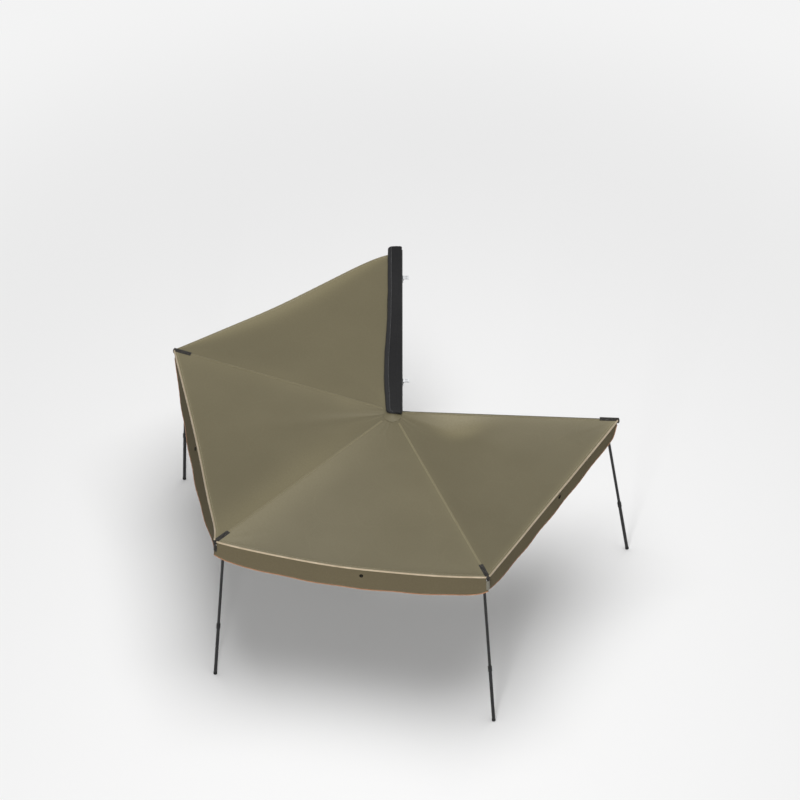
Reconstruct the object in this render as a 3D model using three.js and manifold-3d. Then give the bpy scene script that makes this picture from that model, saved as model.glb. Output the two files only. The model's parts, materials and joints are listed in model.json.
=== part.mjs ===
// A fan awning for the side of a vehicle. Four arms turn about one upright pin at the rear end of a rail,
// carry a cloth fan in four panels, and stand on four telescopic legs. X is the vehicle's right, Y runs
// forward along the rail, Z is up, in millimetres. The origin is the middle of the rear bracket's seat.
import * as THREE from "three";
import { mergeVertices } from "three/addons/utils/BufferGeometryUtils.js";
import Module from "manifold-3d";

const wasm = await Module();
wasm.setup();

// Fits
const seatGap = 0.3; // between faces that touch
const runGap = 0.5; // between pieces that turn or slide
const overrun = 2; // how far a cutting tool passes the face it cuts

// Mounting brackets
const frontBracketInset = 370; // from the rail's front end back to the front bracket's middle
const bracketWidth = 50;
const bracketThick = 6;
const bracketReach = 64;
const bracketDrop = 48;
const bracketFillet = 5;
const slotWidth = 9;
const slotLength = 30;
const slotSpacing = 26;
const boltSpacing = 28;

// Rail
const railLength = 2275;
const railDepth = 22;
const railHeight = 72;
const railWall = 2.6;
const railRound = 2.5;
const tSlotMouth = 8.6;
const tSlotWidth = 15;
const tSlotDepth = 9;
const tSlotLip = 3;
const tSlotBelow = 20; // under the arms' middle height
const grooveBore = 9;
const grooveMouth = 4;
const grooveAbove = 27; // over the arms' middle height
const capThick = 5;
const capPlug = 14;

// Bolts in the rail's slot
const boltDiameter = 8;
const boltHeadAcross = 14;
const boltHeadThick = 5.5;
const boltKeyThick = 4;

// Main pivot
const pivotBehind = 510; // from the origin back to the main pin
const pinDiameter = 16;
const pinHeadDiameter = 30;
const pinHeadThick = 4.6;
const pinTail = 22;
const nutAcross = 26;
const nutThick = 13;
const washerDiameter = 34;
const washerThick = 2.4;
const yokeThick = 6;
const yokeBoss = 30;
const yokeWeb = 5;
const yokeWebStart = 95; // from the pin forward to the upright web
const yokeWebLength = 118;
const yokeWebBoltSpacing = 70;
const yokeNeck = 34;
const yokeEyeFrom = 135; // degrees, where the plate's round end starts
const yokeSpacer = 34; // boss that fills the height between a yoke plate and the hinge plates
const boltReach = 7; // of the yoke's screws past the rail's front

// Arms
const armReaches = [2345, 2385, 2350, 2192];
const armDirections = [158, 226, 292, 357]; // degrees from X when open
const armPitch = 40; // between neighbouring arms when closed
const tubeWidth = 20;
const tubeHeight = 40;
const tubeWall = 2;
const tubeRound = 3;
const tubeStart = 80;
const packClearance = 8; // between the closed arms and the rail
const plateThick = 6;
const plateBoss = 24;
const plateBar = 32;
const plateTongue = 15;
const cheekThick = 4;
const cheekHeight = 34;
const cheekLength = 100;
const cheekStart = 73;
const endCapNose = 14;
const endCapPlug = 28;

// Legs
const legInset = 130; // from the arm's tip back to the leg's pin
const legDrop = 42; // from the arm's middle height down to the leg's pin
const legSplays = [2.6, 6.2, 10.6, 8.9]; // degrees outwards
const legHeight = 1716; // from the leg's pin straight down to the ground
const legLowerLength = 620;
const legOverlap = 120; // of the upper tube inside the lower one
const upperDiameter = 28;
const lowerDiameter = 33;
const legWall = 1.5;
const legHeadLength = 34;
const legPinDiameter = 8;
const legPinHead = 12;
const legPinHeadThick = 2.6;
const earThick = 3.5;
const earWidth = 32;
const saddleLength = 64;
const saddleThick = 3.2;
const saddleSide = 26;
const collarDiameter = 39;
const collarLength = 62;
const collarSeat = 24; // of the lower tube inside the collar
const collarTaper = 9;
const collarFlutes = 10;
const fluteDepth = 1.2;
const footDiameter = 38;
const footHeight = 26;
const footPlug = 40;

// Cloth
const clothThick = 1.1;
const clothStart = 62; // from the pin along each arm
const clothInset = 12; // from the arm's tip back to the sewn edge
const railClothStart = 232; // from the pin forward along the rail
const frontCornerInset = 40; // from the rail's front end back to the front panel's corner
const panelSags = [55, 85, 125, 75];
const panelScallops = [0, 40, 14, 36];
const panelFolds = [3, 9, 0, 4];
const panelFoldShares = [0.62, 0.56, 0.44, 0.72]; // where the main fold lies across each panel
const foldWidthShare = 0.08;
const foldSpreadShare = 0.5; // power of the length that carries the fold towards the pin
const sagPowerShare = 1.2; // power of the length by which the sag grows
const scallopPower = 3;
const frontBulge = 900; // scale of the front panel's outward swell beside the rail
const frontBulgeShares = [0.8, 5]; // powers of the shares from the rail and to arm 1
const shoulderDepths = [0, 12, 30, 85]; // by panel, where the cloth drops quickly beside an arm
const shoulderWidths = [90, 90, 240, 220];
const shoulderAtShares = [0.2, 0.2, 0.6, 0.27]; // out along the arm
const shoulderSpreadShares = [0.2, 0.2, 0.42, 0.15];
const shoulderPowerShare = 1.5;
const shoulderPanelsBySecondArm = [false, true, false, true];
const mostRestShare = 0.2; // of a narrow chord that still lies flat on the tube
const seamRest = 13; // cloth that lies flat on a tube, each side of its middle
const valanceStart = 17; // beside the arm's middle line, along the outer edge
const valanceNotch = 46; // depth over which a valance keeps clear of the arm's tube
const valanceDrop = 250;
const valanceFlares = [0, 24, 20, -6]; // by panel, outwards at the lower edge
const valanceWave = 4;
const valanceWaves = 5;
const valanceRounding = 70;
const cornerCutShare = 0.32; // of the drop, at the sewn corners
const cornerCutReach = 60;
const tailCutShare = 0.28; // of the last valance's drop, towards its free end

// Travel bag, empty and laid over the rail
const bagRearShort = 10; // forward of the main pin
const bagFrontPast = 38; // beyond the rail's front end
const bagThick = 32;
const bagWidth = 122;
const bagSwollenWidth = 168;
const bagSwellAtShare = 0.36; // of the length, from the rear
const bagSwellShare = 0.26;
const bagEndRoundings = [50, 26]; // at the rear and the front
const bagEndShares = [0.55, 0.84]; // of the width left at the very ends
const bagLap = 16; // of the bag over the rail
const bagSideShare = 0.7; // power that squares the bag's section off at its sides
const bagTopShare = 0.6; // and over its top
const bagStations = 23;
const bagSides = 16;

// Places worked out from the sizes
const railBackX = -bracketReach / 2 - seatGap;
const railFrontX = railBackX - railDepth;
const packHalf = (3 * armPitch) / 2 + tubeWidth / 2;
const pivot = new THREE.Vector3(railFrontX - packClearance - packHalf, -pivotBehind, 0);
const railRearY = pivot.y + yokeWebStart;
const railFrontY = railRearY + railLength;
const frontBracketY = railFrontY - frontBracketInset;
const platePitch = plateThick + washerThick + 2 * seatGap;
const yokeInner = tubeHeight / 2 + 4 * seatGap + 2 * clothThick;
const yokeOuter = yokeInner + yokeThick;
const pinTop = yokeOuter + seatGap + pinHeadThick;
const stackHalf = (3 * platePitch) / 2 + plateThick / 2;
const clothZ = tubeHeight / 2 + seatGap + clothThick;

// Finishes
const finish = (color, roughness, metalness) =>
  new THREE.MeshStandardMaterial({ color, roughness, metalness });
const bareAluminium = finish(0xb9bcbe, 0.35, 0.9);
const blackCoat = finish(0x1b1b1c, 0.45, 0.6);
const zincSteel = finish(0xa7a9ab, 0.3, 0.9);
const blackPlastic = finish(0x161617, 0.6, 0);
const canvas = finish(0x78705c, 0.9, 0);
const bagCloth = finish(0x303032, 0.75, 0);

// Joining and cutting closed meshes
function toSolid(geometry) {
  const plain = geometry.clone();
  plain.deleteAttribute("normal");
  plain.deleteAttribute("uv");
  const merged = mergeVertices(plain);
  const triVerts = new Uint32Array(merged.index.array);
  return new wasm.Manifold(
    new wasm.Mesh({ numProp: 3, vertProperties: merged.attributes.position.array, triVerts }),
  );
}

function toGeometry(solid) {
  const mesh = solid.getMesh();
  const geometry = new THREE.BufferGeometry();
  geometry.setAttribute("position", new THREE.BufferAttribute(mesh.vertProperties, 3));
  geometry.setIndex(new THREE.BufferAttribute(mesh.triVerts, 1));
  geometry.computeVertexNormals();
  return geometry;
}

const joined = (first, ...rest) =>
  toGeometry(rest.reduce((sum, g) => sum.add(toSolid(g)), toSolid(first)));
const without = (base, ...tools) =>
  toGeometry(tools.reduce((left, g) => left.subtract(toSolid(g)), toSolid(base)));

const moved = (geometry, x, y, z) => geometry.clone().translate(x, y, z);

// Plain forms, each centred on its own axis
function rectangle(width, height, round) {
  const w = width / 2;
  const h = height / 2;
  const shape = new THREE.Shape();
  shape.moveTo(w, h - round).absarc(w - round, h - round, round, 0, Math.PI / 2);
  shape.absarc(round - w, h - round, round, Math.PI / 2, Math.PI);
  shape.absarc(round - w, round - h, round, Math.PI, 1.5 * Math.PI);
  shape.absarc(w - round, round - h, round, 1.5 * Math.PI, 2 * Math.PI);
  return shape;
}

const upright = (shape, depth, low, arcSteps = 3) =>
  new THREE.ExtrudeGeometry(shape, {
    depth,
    bevelEnabled: false,
    curveSegments: arcSteps,
  }).translate(0, 0, low);

// Profiles drawn in Y and Z run along X, and profiles drawn in X and Z run along Y
const alongX = (shape, length, start, arcSteps = 2) =>
  upright(shape, length, start, arcSteps).applyMatrix4(
    new THREE.Matrix4().set(0, 0, 1, 0, 1, 0, 0, 0, 0, 1, 0, 0, 0, 0, 0, 1),
  );
const alongY = (shape, length, start, arcSteps = 3) =>
  upright(shape, length, -start - length, arcSteps).rotateX(Math.PI / 2);

const rod = (diameter, low, high, sides = 20) =>
  new THREE.CylinderGeometry(diameter / 2, diameter / 2, high - low, sides)
    .rotateX(Math.PI / 2)
    .translate(0, 0, (low + high) / 2);

const turned = (points, sides = 20) =>
  new THREE.LatheGeometry(
    points.map(([r, z]) => new THREE.Vector2(r, z)),
    sides,
  ).rotateX(Math.PI / 2);

const block = (x0, x1, y0, y1, z0, z1) =>
  new THREE.BoxGeometry(x1 - x0, y1 - y0, z1 - z0).translate(
    (x0 + x1) / 2,
    (y0 + y1) / 2,
    (z0 + z1) / 2,
  );

const root = new THREE.Group();

function add(name, geometry, material, parent = root) {
  const mesh = new THREE.Mesh(geometry, material);
  mesh.name = name;
  parent.add(mesh);
  return mesh;
}

// Rail: an extruded profile with a bolt slot in its back, a cloth groove in its front and one hollow chamber
function railProfile() {
  const back = railBackX;
  const front = railFrontX;
  const top = railHeight / 2;
  const r = railRound;
  const slot = -tSlotBelow;
  const groove = grooveAbove;
  const shape = new THREE.Shape();
  shape.moveTo(back, slot - tSlotMouth / 2);
  shape.lineTo(back - tSlotLip, slot - tSlotMouth / 2).lineTo(back - tSlotLip, slot - tSlotWidth / 2);
  shape.lineTo(back - tSlotDepth, slot - tSlotWidth / 2).lineTo(back - tSlotDepth, slot + tSlotWidth / 2);
  shape.lineTo(back - tSlotLip, slot + tSlotWidth / 2).lineTo(back - tSlotLip, slot + tSlotMouth / 2);
  shape.lineTo(back, slot + tSlotMouth / 2).lineTo(back, top - r);
  shape.absarc(back - r, top - r, r, 0, Math.PI / 2);
  shape.absarc(front + r, top - r, r, Math.PI / 2, Math.PI);
  const open = Math.asin(grooveMouth / grooveBore);
  const middle = front + (Math.cos(open) * grooveBore) / 2 + railWall / 2;
  shape.lineTo(front, groove + grooveMouth / 2);
  shape.absarc(middle, groove, grooveBore / 2, Math.PI - open, open - Math.PI, true);
  shape.lineTo(front, groove - grooveMouth / 2).lineTo(front, r - top);
  shape.absarc(front + r, r - top, r, Math.PI, 1.5 * Math.PI);
  shape.absarc(back - r, r - top, r, 1.5 * Math.PI, 2 * Math.PI);
  shape.closePath();
  return shape;
}

const chamberLow = -tSlotBelow + tSlotWidth / 2 + railWall;
const chamberHigh = grooveAbove - grooveBore / 2 - railWall;

function chamber(clearance, length, start) {
  const hole = rectangle(
    railDepth - 2 * (railWall + clearance),
    chamberHigh - chamberLow - 2 * clearance,
    railRound / 2,
  );
  return moved(
    alongY(hole, length, start),
    (railBackX + railFrontX) / 2,
    0,
    (chamberLow + chamberHigh) / 2,
  );
}

function makeRail() {
  const hollow = chamber(0, railLength + 2 * overrun, railRearY - overrun);
  const yokeHole = rod(boltDiameter + 2 * runGap, -overrun, railDepth / 2, 16).rotateY(Math.PI / 2);
  const yokeHoles = yokeBoltPlaces().map((y) => moved(yokeHole, railFrontX, y, 0));
  add("base_rail", without(alongY(railProfile(), railLength, railRearY), hollow, ...yokeHoles), blackCoat);
  const plug = chamber(runGap, capPlug + 2 * seatGap, railFrontY - capPlug);
  const lid = alongY(rectangle(railDepth, railHeight, railRound), capThick, railFrontY + seatGap);
  const seated = moved(lid, (railBackX + railFrontX) / 2, 0, 0);
  add("rail_end_cap", joined(seated, plug), blackPlastic);
}

// Mounting bracket: an aluminium angle with two slots for the rack's bolts and two holes for the rail's bolts
function makeBracket(name, y) {
  const near = -bracketReach / 2;
  const f = bracketFillet;
  const shape = new THREE.Shape();
  shape.moveTo(near, -bracketDrop).lineTo(near + bracketThick, -bracketDrop);
  shape.lineTo(near + bracketThick, -f);
  shape.absarc(near + bracketThick + f, -f, f, Math.PI, Math.PI / 2, true);
  shape.lineTo(-near, 0).lineTo(-near, bracketThick).lineTo(near + f, bracketThick);
  shape.absarc(near + f, bracketThick - f, f, Math.PI / 2, Math.PI);
  shape.closePath();
  const angle = alongY(shape, bracketWidth, y - bracketWidth / 2);
  const opening = rectangle(slotLength, slotWidth, slotWidth / 2);
  const slot = upright(opening, bracketThick + 2 * overrun, -overrun, 4);
  const hole = rod(boltDiameter + 2 * runGap, -overrun, bracketThick + overrun, 16)
    .rotateY(Math.PI / 2)
    .translate(near, 0, -tSlotBelow);
  const slotX = bracketThick / 2;
  const cuts = [-1, 1].flatMap((side) => [
    moved(slot, slotX, y + (side * slotSpacing) / 2, 0),
    moved(hole, 0, y + (side * boltSpacing) / 2, 0),
  ]);
  add(name, without(angle, ...cuts), bareAluminium);
}

// Bolt whose key sits in the rail's slot and whose hexagonal head bears on the bracket
function makeRailBolt(name, y) {
  const headFrom = bracketThick + seatGap;
  const keyHigh = -seatGap - tSlotLip - seatGap;
  const head = rod(boltHeadAcross / Math.cos(Math.PI / 6), headFrom, headFrom + boltHeadThick, 6);
  const key = block(
    -tSlotWidth / 2 + runGap,
    tSlotWidth / 2 - runGap,
    -boltDiameter,
    boltDiameter,
    keyHigh - boltKeyThick,
    keyHigh,
  );
  const shank = rod(boltDiameter, keyHigh - boltKeyThick / 2, headFrom + boltHeadThick / 2, 16);
  const bolt = joined(shank, head, key)
    .rotateY(Math.PI / 2)
    .translate(-bracketReach / 2, y, -tSlotBelow);
  add(name, bolt, zincSteel);
}

// Yoke: two plates over and under the stack of hinge plates, each with a round boss that reaches the stack,
// joined by an upright web on the rail's front
function makeYoke() {
  const webX = railFrontX - seatGap - pivot.x;
  const plate = new THREE.Shape();
  plate.absarc(0, 0, yokeBoss, THREE.MathUtils.degToRad(yokeEyeFrom), 2 * Math.PI);
  plate.lineTo(webX, yokeWebStart + yokeNeck - yokeBoss).lineTo(webX, yokeWebStart + yokeWebLength);
  plate.lineTo(webX - yokeWeb, yokeWebStart + yokeWebLength);
  plate.lineTo(webX - yokeNeck, yokeWebStart + yokeNeck);
  plate.closePath();
  const web = block(webX - yokeWeb, webX, yokeWebStart, yokeWebStart + yokeWebLength, -yokeOuter, yokeOuter);
  const hole = rod(pinDiameter + 2 * runGap, -yokeOuter - overrun, yokeOuter + overrun);
  const boltHole = rod(boltDiameter + 2 * runGap, -yokeWeb - overrun, overrun, 16).rotateY(Math.PI / 2);
  const boltHoles = yokeBoltPlaces().map((y) => moved(boltHole, webX, y - pivot.y, 0));
  const spacerTop = yokeInner + yokeThick / 2;
  const spacers = [
    rod(yokeSpacer, stackHalf + seatGap, spacerTop),
    rod(yokeSpacer, -spacerTop, -stackHalf - seatGap),
  ];
  const yoke = without(
    joined(...[yokeInner, -yokeOuter].map((low) => upright(plate, yokeThick, low, 12)), web, ...spacers),
    hole,
    ...boltHoles,
  );
  add("pivot_yoke", yoke.translate(pivot.x, pivot.y, 0), blackCoat);
}

const yokeBoltPlaces = () =>
  [-1, 1].map((side) => railRearY + yokeWebLength / 2 + (side * yokeWebBoltSpacing) / 2);

// Screw through the yoke's web and a hole in the rail's front wall
function makeYokeBolt(name, y) {
  const low = -yokeWeb - 2 * seatGap;
  const head = rod(boltHeadAcross, low - boltKeyThick / 2, low, 16);
  const shank = rod(boltDiameter, low - boltKeyThick / 4, boltReach, 16);
  add(name, joined(shank, head).rotateY(Math.PI / 2).translate(railFrontX, y, 0), zincSteel);
}

function makePin() {
  const top = yokeOuter + seatGap;
  const pin = turned([
    [0, -yokeOuter - pinTail],
    [pinDiameter / 2 - runGap, -yokeOuter - pinTail],
    [pinDiameter / 2, -yokeOuter - pinTail + runGap],
    [pinDiameter / 2, top],
    [pinHeadDiameter / 2, top],
    [pinHeadDiameter / 2, top + pinHeadThick / 2],
    [pinHeadDiameter / 2 - pinHeadThick / 2, top + pinHeadThick],
    [0, top + pinHeadThick],
  ]);
  add("pivot_pin", pin.translate(pivot.x, pivot.y, 0), zincSteel);
  const nutTop = -yokeOuter - seatGap;
  const nut = without(
    rod(nutAcross / Math.cos(Math.PI / 6), nutTop - nutThick, nutTop, 6),
    rod(pinDiameter + 2 * seatGap, nutTop - nutThick - overrun, nutTop + overrun),
  );
  add("pivot_nut", nut.translate(pivot.x, pivot.y, 0), zincSteel);
  for (let i = 0; i < 3; i += 1) {
    const z = (i - 1) * platePitch;
    const ring = without(
      rod(washerDiameter, z - washerThick / 2, z + washerThick / 2),
      rod(pinDiameter + 2 * seatGap, z - washerThick, z + washerThick),
    );
    add("pivot_washer_" + (i + 1), ring.translate(pivot.x, pivot.y, 0), zincSteel);
  }
}

// Each arm's own frame: X runs out along the arm from the main pin, Y to the arm's left
const armOffset = (i) => (i - 1.5) * armPitch;
const plateLevel = (i) => (i - 1.5) * platePitch;

function armFrame(i) {
  const frame = new THREE.Group();
  frame.position.copy(pivot);
  frame.rotation.z = THREE.MathUtils.degToRad(armDirections[i]);
  root.add(frame);
  return frame;
}

// Hinge plate: an eye on the main pin at its own height, a bar out to the arm's side place, and an upright
// cheek riveted to the tube's left side
function makeHingePlate(i, frame) {
  const offset = armOffset(i);
  const side = Math.sign(offset);
  const edge = offset + (side * plateTongue) / 2;
  const low = plateLevel(i) - plateThick / 2;
  const eye = rod(2 * plateBoss, low, low + plateThick, 32);
  const bar = block(-plateBar / 2, plateBar / 2, Math.min(0, edge), Math.max(0, edge), low, low + plateThick);
  const cheekInner = offset + tubeWidth / 2 + seatGap;
  const tongueEnd = tubeStart - 2 * seatGap;
  const tongue = block(
    0,
    tongueEnd,
    Math.min(edge, offset - (side * plateTongue) / 2),
    Math.max(cheekInner + cheekThick, edge),
    low,
    low + plateThick,
  );
  const cheekProfile = rectangle(cheekLength, cheekHeight, 2 * plateThick);
  const cheek = alongY(cheekProfile, cheekThick, cheekInner).translate(cheekStart + cheekLength / 2, 0, 0);
  const hole = rod(pinDiameter + 2 * runGap, low - overrun, low + plateThick + overrun, 32);
  add("hinge_plate_" + (i + 1), without(joined(eye, bar, tongue, cheek), hole), zincSteel, frame);
}

function makeArmTube(i, frame) {
  const length = armReaches[i] - endCapNose - tubeStart;
  const outer = rectangle(tubeWidth, tubeHeight, tubeRound);
  const inner = rectangle(tubeWidth - 2 * tubeWall, tubeHeight - 2 * tubeWall, tubeRound - tubeWall);
  outer.holes.push(inner);
  const tube = alongX(outer, length, tubeStart).translate(0, armOffset(i), 0);
  add("arm_tube_" + (i + 1), tube, blackCoat, frame);

  const nose = new THREE.Shape();
  nose.moveTo(0, -tubeWidth / 2).lineTo(endCapNose - tubeWidth / 2, -tubeWidth / 2);
  nose.absarc(endCapNose - tubeWidth / 2, 0, tubeWidth / 2, -Math.PI / 2, Math.PI / 2);
  nose.lineTo(0, tubeWidth / 2).closePath();
  const bore = rectangle(
    tubeWidth - 2 * tubeWall - 2 * seatGap,
    tubeHeight - 2 * tubeWall - 2 * seatGap,
    tubeRound - tubeWall,
  );
  const plug = alongX(bore, endCapPlug + 2 * seatGap, -endCapPlug);
  const cap = joined(upright(nose, tubeHeight, -tubeHeight / 2, 8), plug);
  add(
    "arm_end_cap_" + (i + 1),
    moved(cap, tubeStart + length + seatGap, armOffset(i), 0),
    blackPlastic,
    frame,
  );
}

// Saddle that grips the tube's sides; a wider bridge under its floor drops two ears for the leg's pin
function makeLegBracket(i, frame) {
  const inner = tubeWidth / 2 + seatGap;
  const outer = inner + saddleThick;
  const floor = -tubeHeight / 2 - seatGap;
  const lip = floor + saddleSide;
  const saddle = new THREE.Shape();
  saddle.moveTo(-outer, floor - saddleThick).lineTo(outer, floor - saddleThick).lineTo(outer, lip);
  saddle.lineTo(inner, lip).lineTo(inner, floor).lineTo(-inner, floor).lineTo(-inner, lip);
  saddle.lineTo(-outer, lip);
  saddle.closePath();
  const earInner = upperDiameter / 2 + runGap;
  const earOuter = earInner + earThick;
  const bearing = earWidth / 2;
  const ear = new THREE.Shape();
  ear.moveTo(bearing, floor - saddleThick / 2).lineTo(-bearing, floor - saddleThick / 2);
  ear.lineTo(-bearing, -legDrop).absarc(0, -legDrop, bearing, Math.PI, 2 * Math.PI);
  ear.closePath();
  const ears = [-1, 1].map((side) => alongY(ear, earThick, side > 0 ? earInner : -earOuter, 5));
  const bridge = block(-bearing, bearing, -earOuter, earOuter, floor - saddleThick, floor);
  const pinHole = alongY(circle(legPinDiameter + 2 * runGap), 2 * collarDiameter, -collarDiameter, 6);
  const bracket = without(
    joined(alongX(saddle, saddleLength, -saddleLength / 2), bridge, ...ears),
    moved(pinHole, 0, 0, -legDrop),
  );
  const at = new THREE.Vector3(armReaches[i] - legInset, armOffset(i), 0);
  add("leg_bracket_" + (i + 1), moved(bracket, at.x, at.y, 0), blackPlastic, frame);

  const half = earOuter + seatGap;
  const shank = alongY(circle(legPinDiameter), 2 * half + legPinHeadThick, -half - legPinHeadThick / 2, 6);
  const head = alongY(circle(legPinHead), legPinHeadThick, 0, 6);
  const pin = joined(shank, moved(head, 0, half, 0), moved(head, 0, -half - legPinHeadThick, 0));
  add("leg_pin_" + (i + 1), moved(pin, at.x, at.y, -legDrop), zincSteel, frame);
  return at;
}

function circle(diameter) {
  return new THREE.Shape().absarc(0, 0, diameter / 2, 0, 2 * Math.PI);
}

// Leg frame: the pin's middle is its origin, and the leg runs down its Z
function legFrame(i, frame, at) {
  const leg = new THREE.Group();
  leg.position.set(at.x, at.y, -legDrop);
  leg.rotation.y = -THREE.MathUtils.degToRad(legSplays[i]);
  frame.add(leg);
  return leg;
}

const legLength = (i) => legHeight / Math.cos(THREE.MathUtils.degToRad(legSplays[i]));

function makeLeg(i, leg) {
  const n = i + 1;
  const footLow = -legLength(i);
  const lowerLow = footLow + footHeight + seatGap;
  const lowerHigh = footLow + legLowerLength;
  const upperLow = lowerHigh - legOverlap;
  const bore = upperDiameter - 2 * legWall;
  const shell = turned([
    [bore / 2, upperLow],
    [upperDiameter / 2, upperLow],
    [upperDiameter / 2, 0],
    [0, 0],
    [0, -legHeadLength],
    [bore / 2, -legHeadLength],
    [bore / 2, upperLow],
  ]);
  const crown = alongY(circle(upperDiameter), upperDiameter, -upperDiameter / 2, 10);
  const pinHole = alongY(circle(legPinDiameter + 2 * runGap), 2 * collarDiameter, -collarDiameter, 6);
  const round = rod(upperDiameter, -upperDiameter, upperDiameter);
  const head = toGeometry(toSolid(crown).intersect(toSolid(round)));
  add("leg_upper_" + n, without(joined(shell, head), pinHole), blackCoat, leg);

  const sleeve = lowerDiameter / 2 - legWall;
  const lower = turned([
    [sleeve, lowerLow],
    [lowerDiameter / 2, lowerLow],
    [lowerDiameter / 2, lowerHigh],
    [sleeve, lowerHigh],
    [sleeve, lowerLow],
  ]);
  add("leg_lower_" + n, lower, blackCoat, leg);

  add("lock_collar_" + n, collar(lowerHigh), blackPlastic, leg);

  const plug = sleeve - seatGap;
  const foot = turned([
    [0, footLow],
    [footDiameter / 2 - runGap, footLow],
    [footDiameter / 2, footLow + runGap],
    [lowerDiameter / 2 + runGap, footLow + footHeight],
    [plug, footLow + footHeight],
    [plug, footLow + footHeight + footPlug],
    [0, footLow + footHeight + footPlug],
  ]);
  add("foot_" + n, foot, blackPlastic, leg);
}

// Lock collar: a fluted grip over the lower tube's end that narrows to close on the upper tube
function collar(lowerHigh) {
  const low = lowerHigh - collarSeat;
  const high = low + collarLength;
  const grip = new THREE.Shape();
  const steps = 3 * collarFlutes;
  for (let s = 0; s < steps; s += 1) {
    const angle = (2 * Math.PI * s) / steps;
    const radius = collarDiameter / 2 - fluteDepth * (s % 3 === 0 ? 1 : 0);
    grip[s ? "lineTo" : "moveTo"](radius * Math.cos(angle), radius * Math.sin(angle));
  }
  grip.closePath();
  const upperBore = upperDiameter / 2 + seatGap;
  const lowerBore = lowerDiameter / 2 + seatGap;
  const step = lowerHigh + seatGap;
  const neck = turned([
    [upperBore, high - collarTaper],
    [collarDiameter / 2 - fluteDepth, high - collarTaper - fluteDepth],
    [upperBore + 2 * fluteDepth, high],
    [upperBore, high],
    [upperBore, high - collarTaper],
  ]);
  const body = upright(grip, collarLength - collarTaper, low);
  const wide = rod(2 * lowerBore, low - overrun, step);
  const narrow = rod(2 * upperBore, step - overrun, high + overrun);
  return without(joined(body, neck), wide, narrow);
}

// Cloth: places along each arm's middle line and along the rail
function armPoint(i, along) {
  const direction = THREE.MathUtils.degToRad(armDirections[i]);
  return new THREE.Vector3(along, armOffset(i), clothZ)
    .applyAxisAngle(new THREE.Vector3(0, 0, 1), direction)
    .add(pivot);
}

const clothEnds = armReaches.map((reach) => reach - clothInset);

function edgePoint(line, share) {
  if (line === 0) {
    const rear = pivot.y + railClothStart;
    const y = rear + (railFrontY - frontCornerInset - rear) * share;
    return new THREE.Vector3(railFrontX - 2 * seatGap, y, clothZ);
  }
  return armPoint(line - 1, clothStart + (clothEnds[line - 1] - clothStart) * share);
}

// A panel's middle surface: straight across between its two lines, drawn in at its outer edge, sagging
// and folded
function panelPoint(panel, across, share) {
  const from = edgePoint(panel, share);
  const to = edgePoint(panel + 1, share);
  const chord = from.distanceTo(to);
  const rest = Math.min(seamRest / chord, mostRestShare);
  const flat = THREE.MathUtils.clamp((across - rest) / (1 - 2 * rest), 0, 1);
  const hang = 4 * flat * (1 - flat);
  const point = from.clone().lerp(to, across);
  const inward = new THREE.Vector3(pivot.x - point.x, pivot.y - point.y, 0).normalize();
  point.addScaledVector(inward, panelScallops[panel] * hang * share ** scallopPower);
  const swell = flat ** frontBulgeShares[0] * (1 - flat) ** frontBulgeShares[1] * share ** scallopPower;
  if (panel === 0) point.addScaledVector(inward, -frontBulge * swell);
  const fold = Math.exp(-(((flat - panelFoldShares[panel]) / foldWidthShare) ** 2));
  point.z -= panelSags[panel] * hang * share ** sagPowerShare;
  point.z -= panelFolds[panel] * fold * hang * Math.sin(Math.PI * share ** foldSpreadShare);
  const near = shoulderPanelsBySecondArm[panel] ? 1 - flat : flat;
  const drop = (1 - Math.exp((-near * chord) / shoulderWidths[panel])) * (1 - near) ** shoulderPowerShare;
  const away = (share - shoulderAtShares[panel]) / shoulderSpreadShares[panel];
  point.z -= shoulderDepths[panel] * drop * Math.exp(-(away ** 2));
  return point;
}

// A closed sheet from two like grids of points, the second one lying behind the first
function closedSheet(columns, rows, front, behind) {
  const points = [];
  const at = (layer, c, r) => (layer * columns + c) * rows + r;
  for (const layer of [front, behind])
    for (let c = 0; c < columns; c += 1)
      for (let r = 0; r < rows; r += 1) points.push(...layer(c, r).toArray());
  const faces = [];
  const quad = (a, b, c, d) => faces.push(a, b, c, a, c, d);
  for (let c = 0; c + 1 < columns; c += 1)
    for (let r = 0; r + 1 < rows; r += 1) {
      quad(at(0, c, r), at(0, c, r + 1), at(0, c + 1, r + 1), at(0, c + 1, r));
      quad(at(1, c, r), at(1, c + 1, r), at(1, c + 1, r + 1), at(1, c, r + 1));
    }
  for (let c = 0; c + 1 < columns; c += 1) {
    quad(at(0, c, 0), at(0, c + 1, 0), at(1, c + 1, 0), at(1, c, 0));
    quad(at(0, c + 1, rows - 1), at(0, c, rows - 1), at(1, c, rows - 1), at(1, c + 1, rows - 1));
  }
  for (let r = 0; r + 1 < rows; r += 1) {
    quad(at(0, 0, r + 1), at(0, 0, r), at(1, 0, r), at(1, 0, r + 1));
    quad(at(0, columns - 1, r), at(0, columns - 1, r + 1), at(1, columns - 1, r + 1), at(1, columns - 1, r));
  }
  const geometry = new THREE.BufferGeometry();
  geometry.setAttribute("position", new THREE.Float32BufferAttribute(points, 3));
  geometry.setIndex(faces);
  return geometry;
}

const panelColumns = 17;
const panelRows = 19;

function makePanel(panel) {
  const place = (c, r) => {
    const share = r / (panelRows - 1);
    const from = edgePoint(panel, share);
    const to = edgePoint(panel + 1, share);
    const chord = from.distanceTo(to);
    const trim = (panel ? seatGap : 0) / chord;
    const rest = Math.min(seamRest / chord, mostRestShare);
    const inner = rest + ((c - 1) / (panelColumns - 3)) * (1 - 2 * rest);
    const last = panelColumns - 1;
    const across = c === 0 ? trim : c === last ? 1 - seatGap / chord : inner;
    return panelPoint(panel, across, share);
  };
  const under = (c, r) => place(c, r).add(new THREE.Vector3(0, 0, -clothThick));
  add("canopy_panel_" + (panel + 1), closedSheet(panelColumns, panelRows, place, under), canvas);
}

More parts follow.
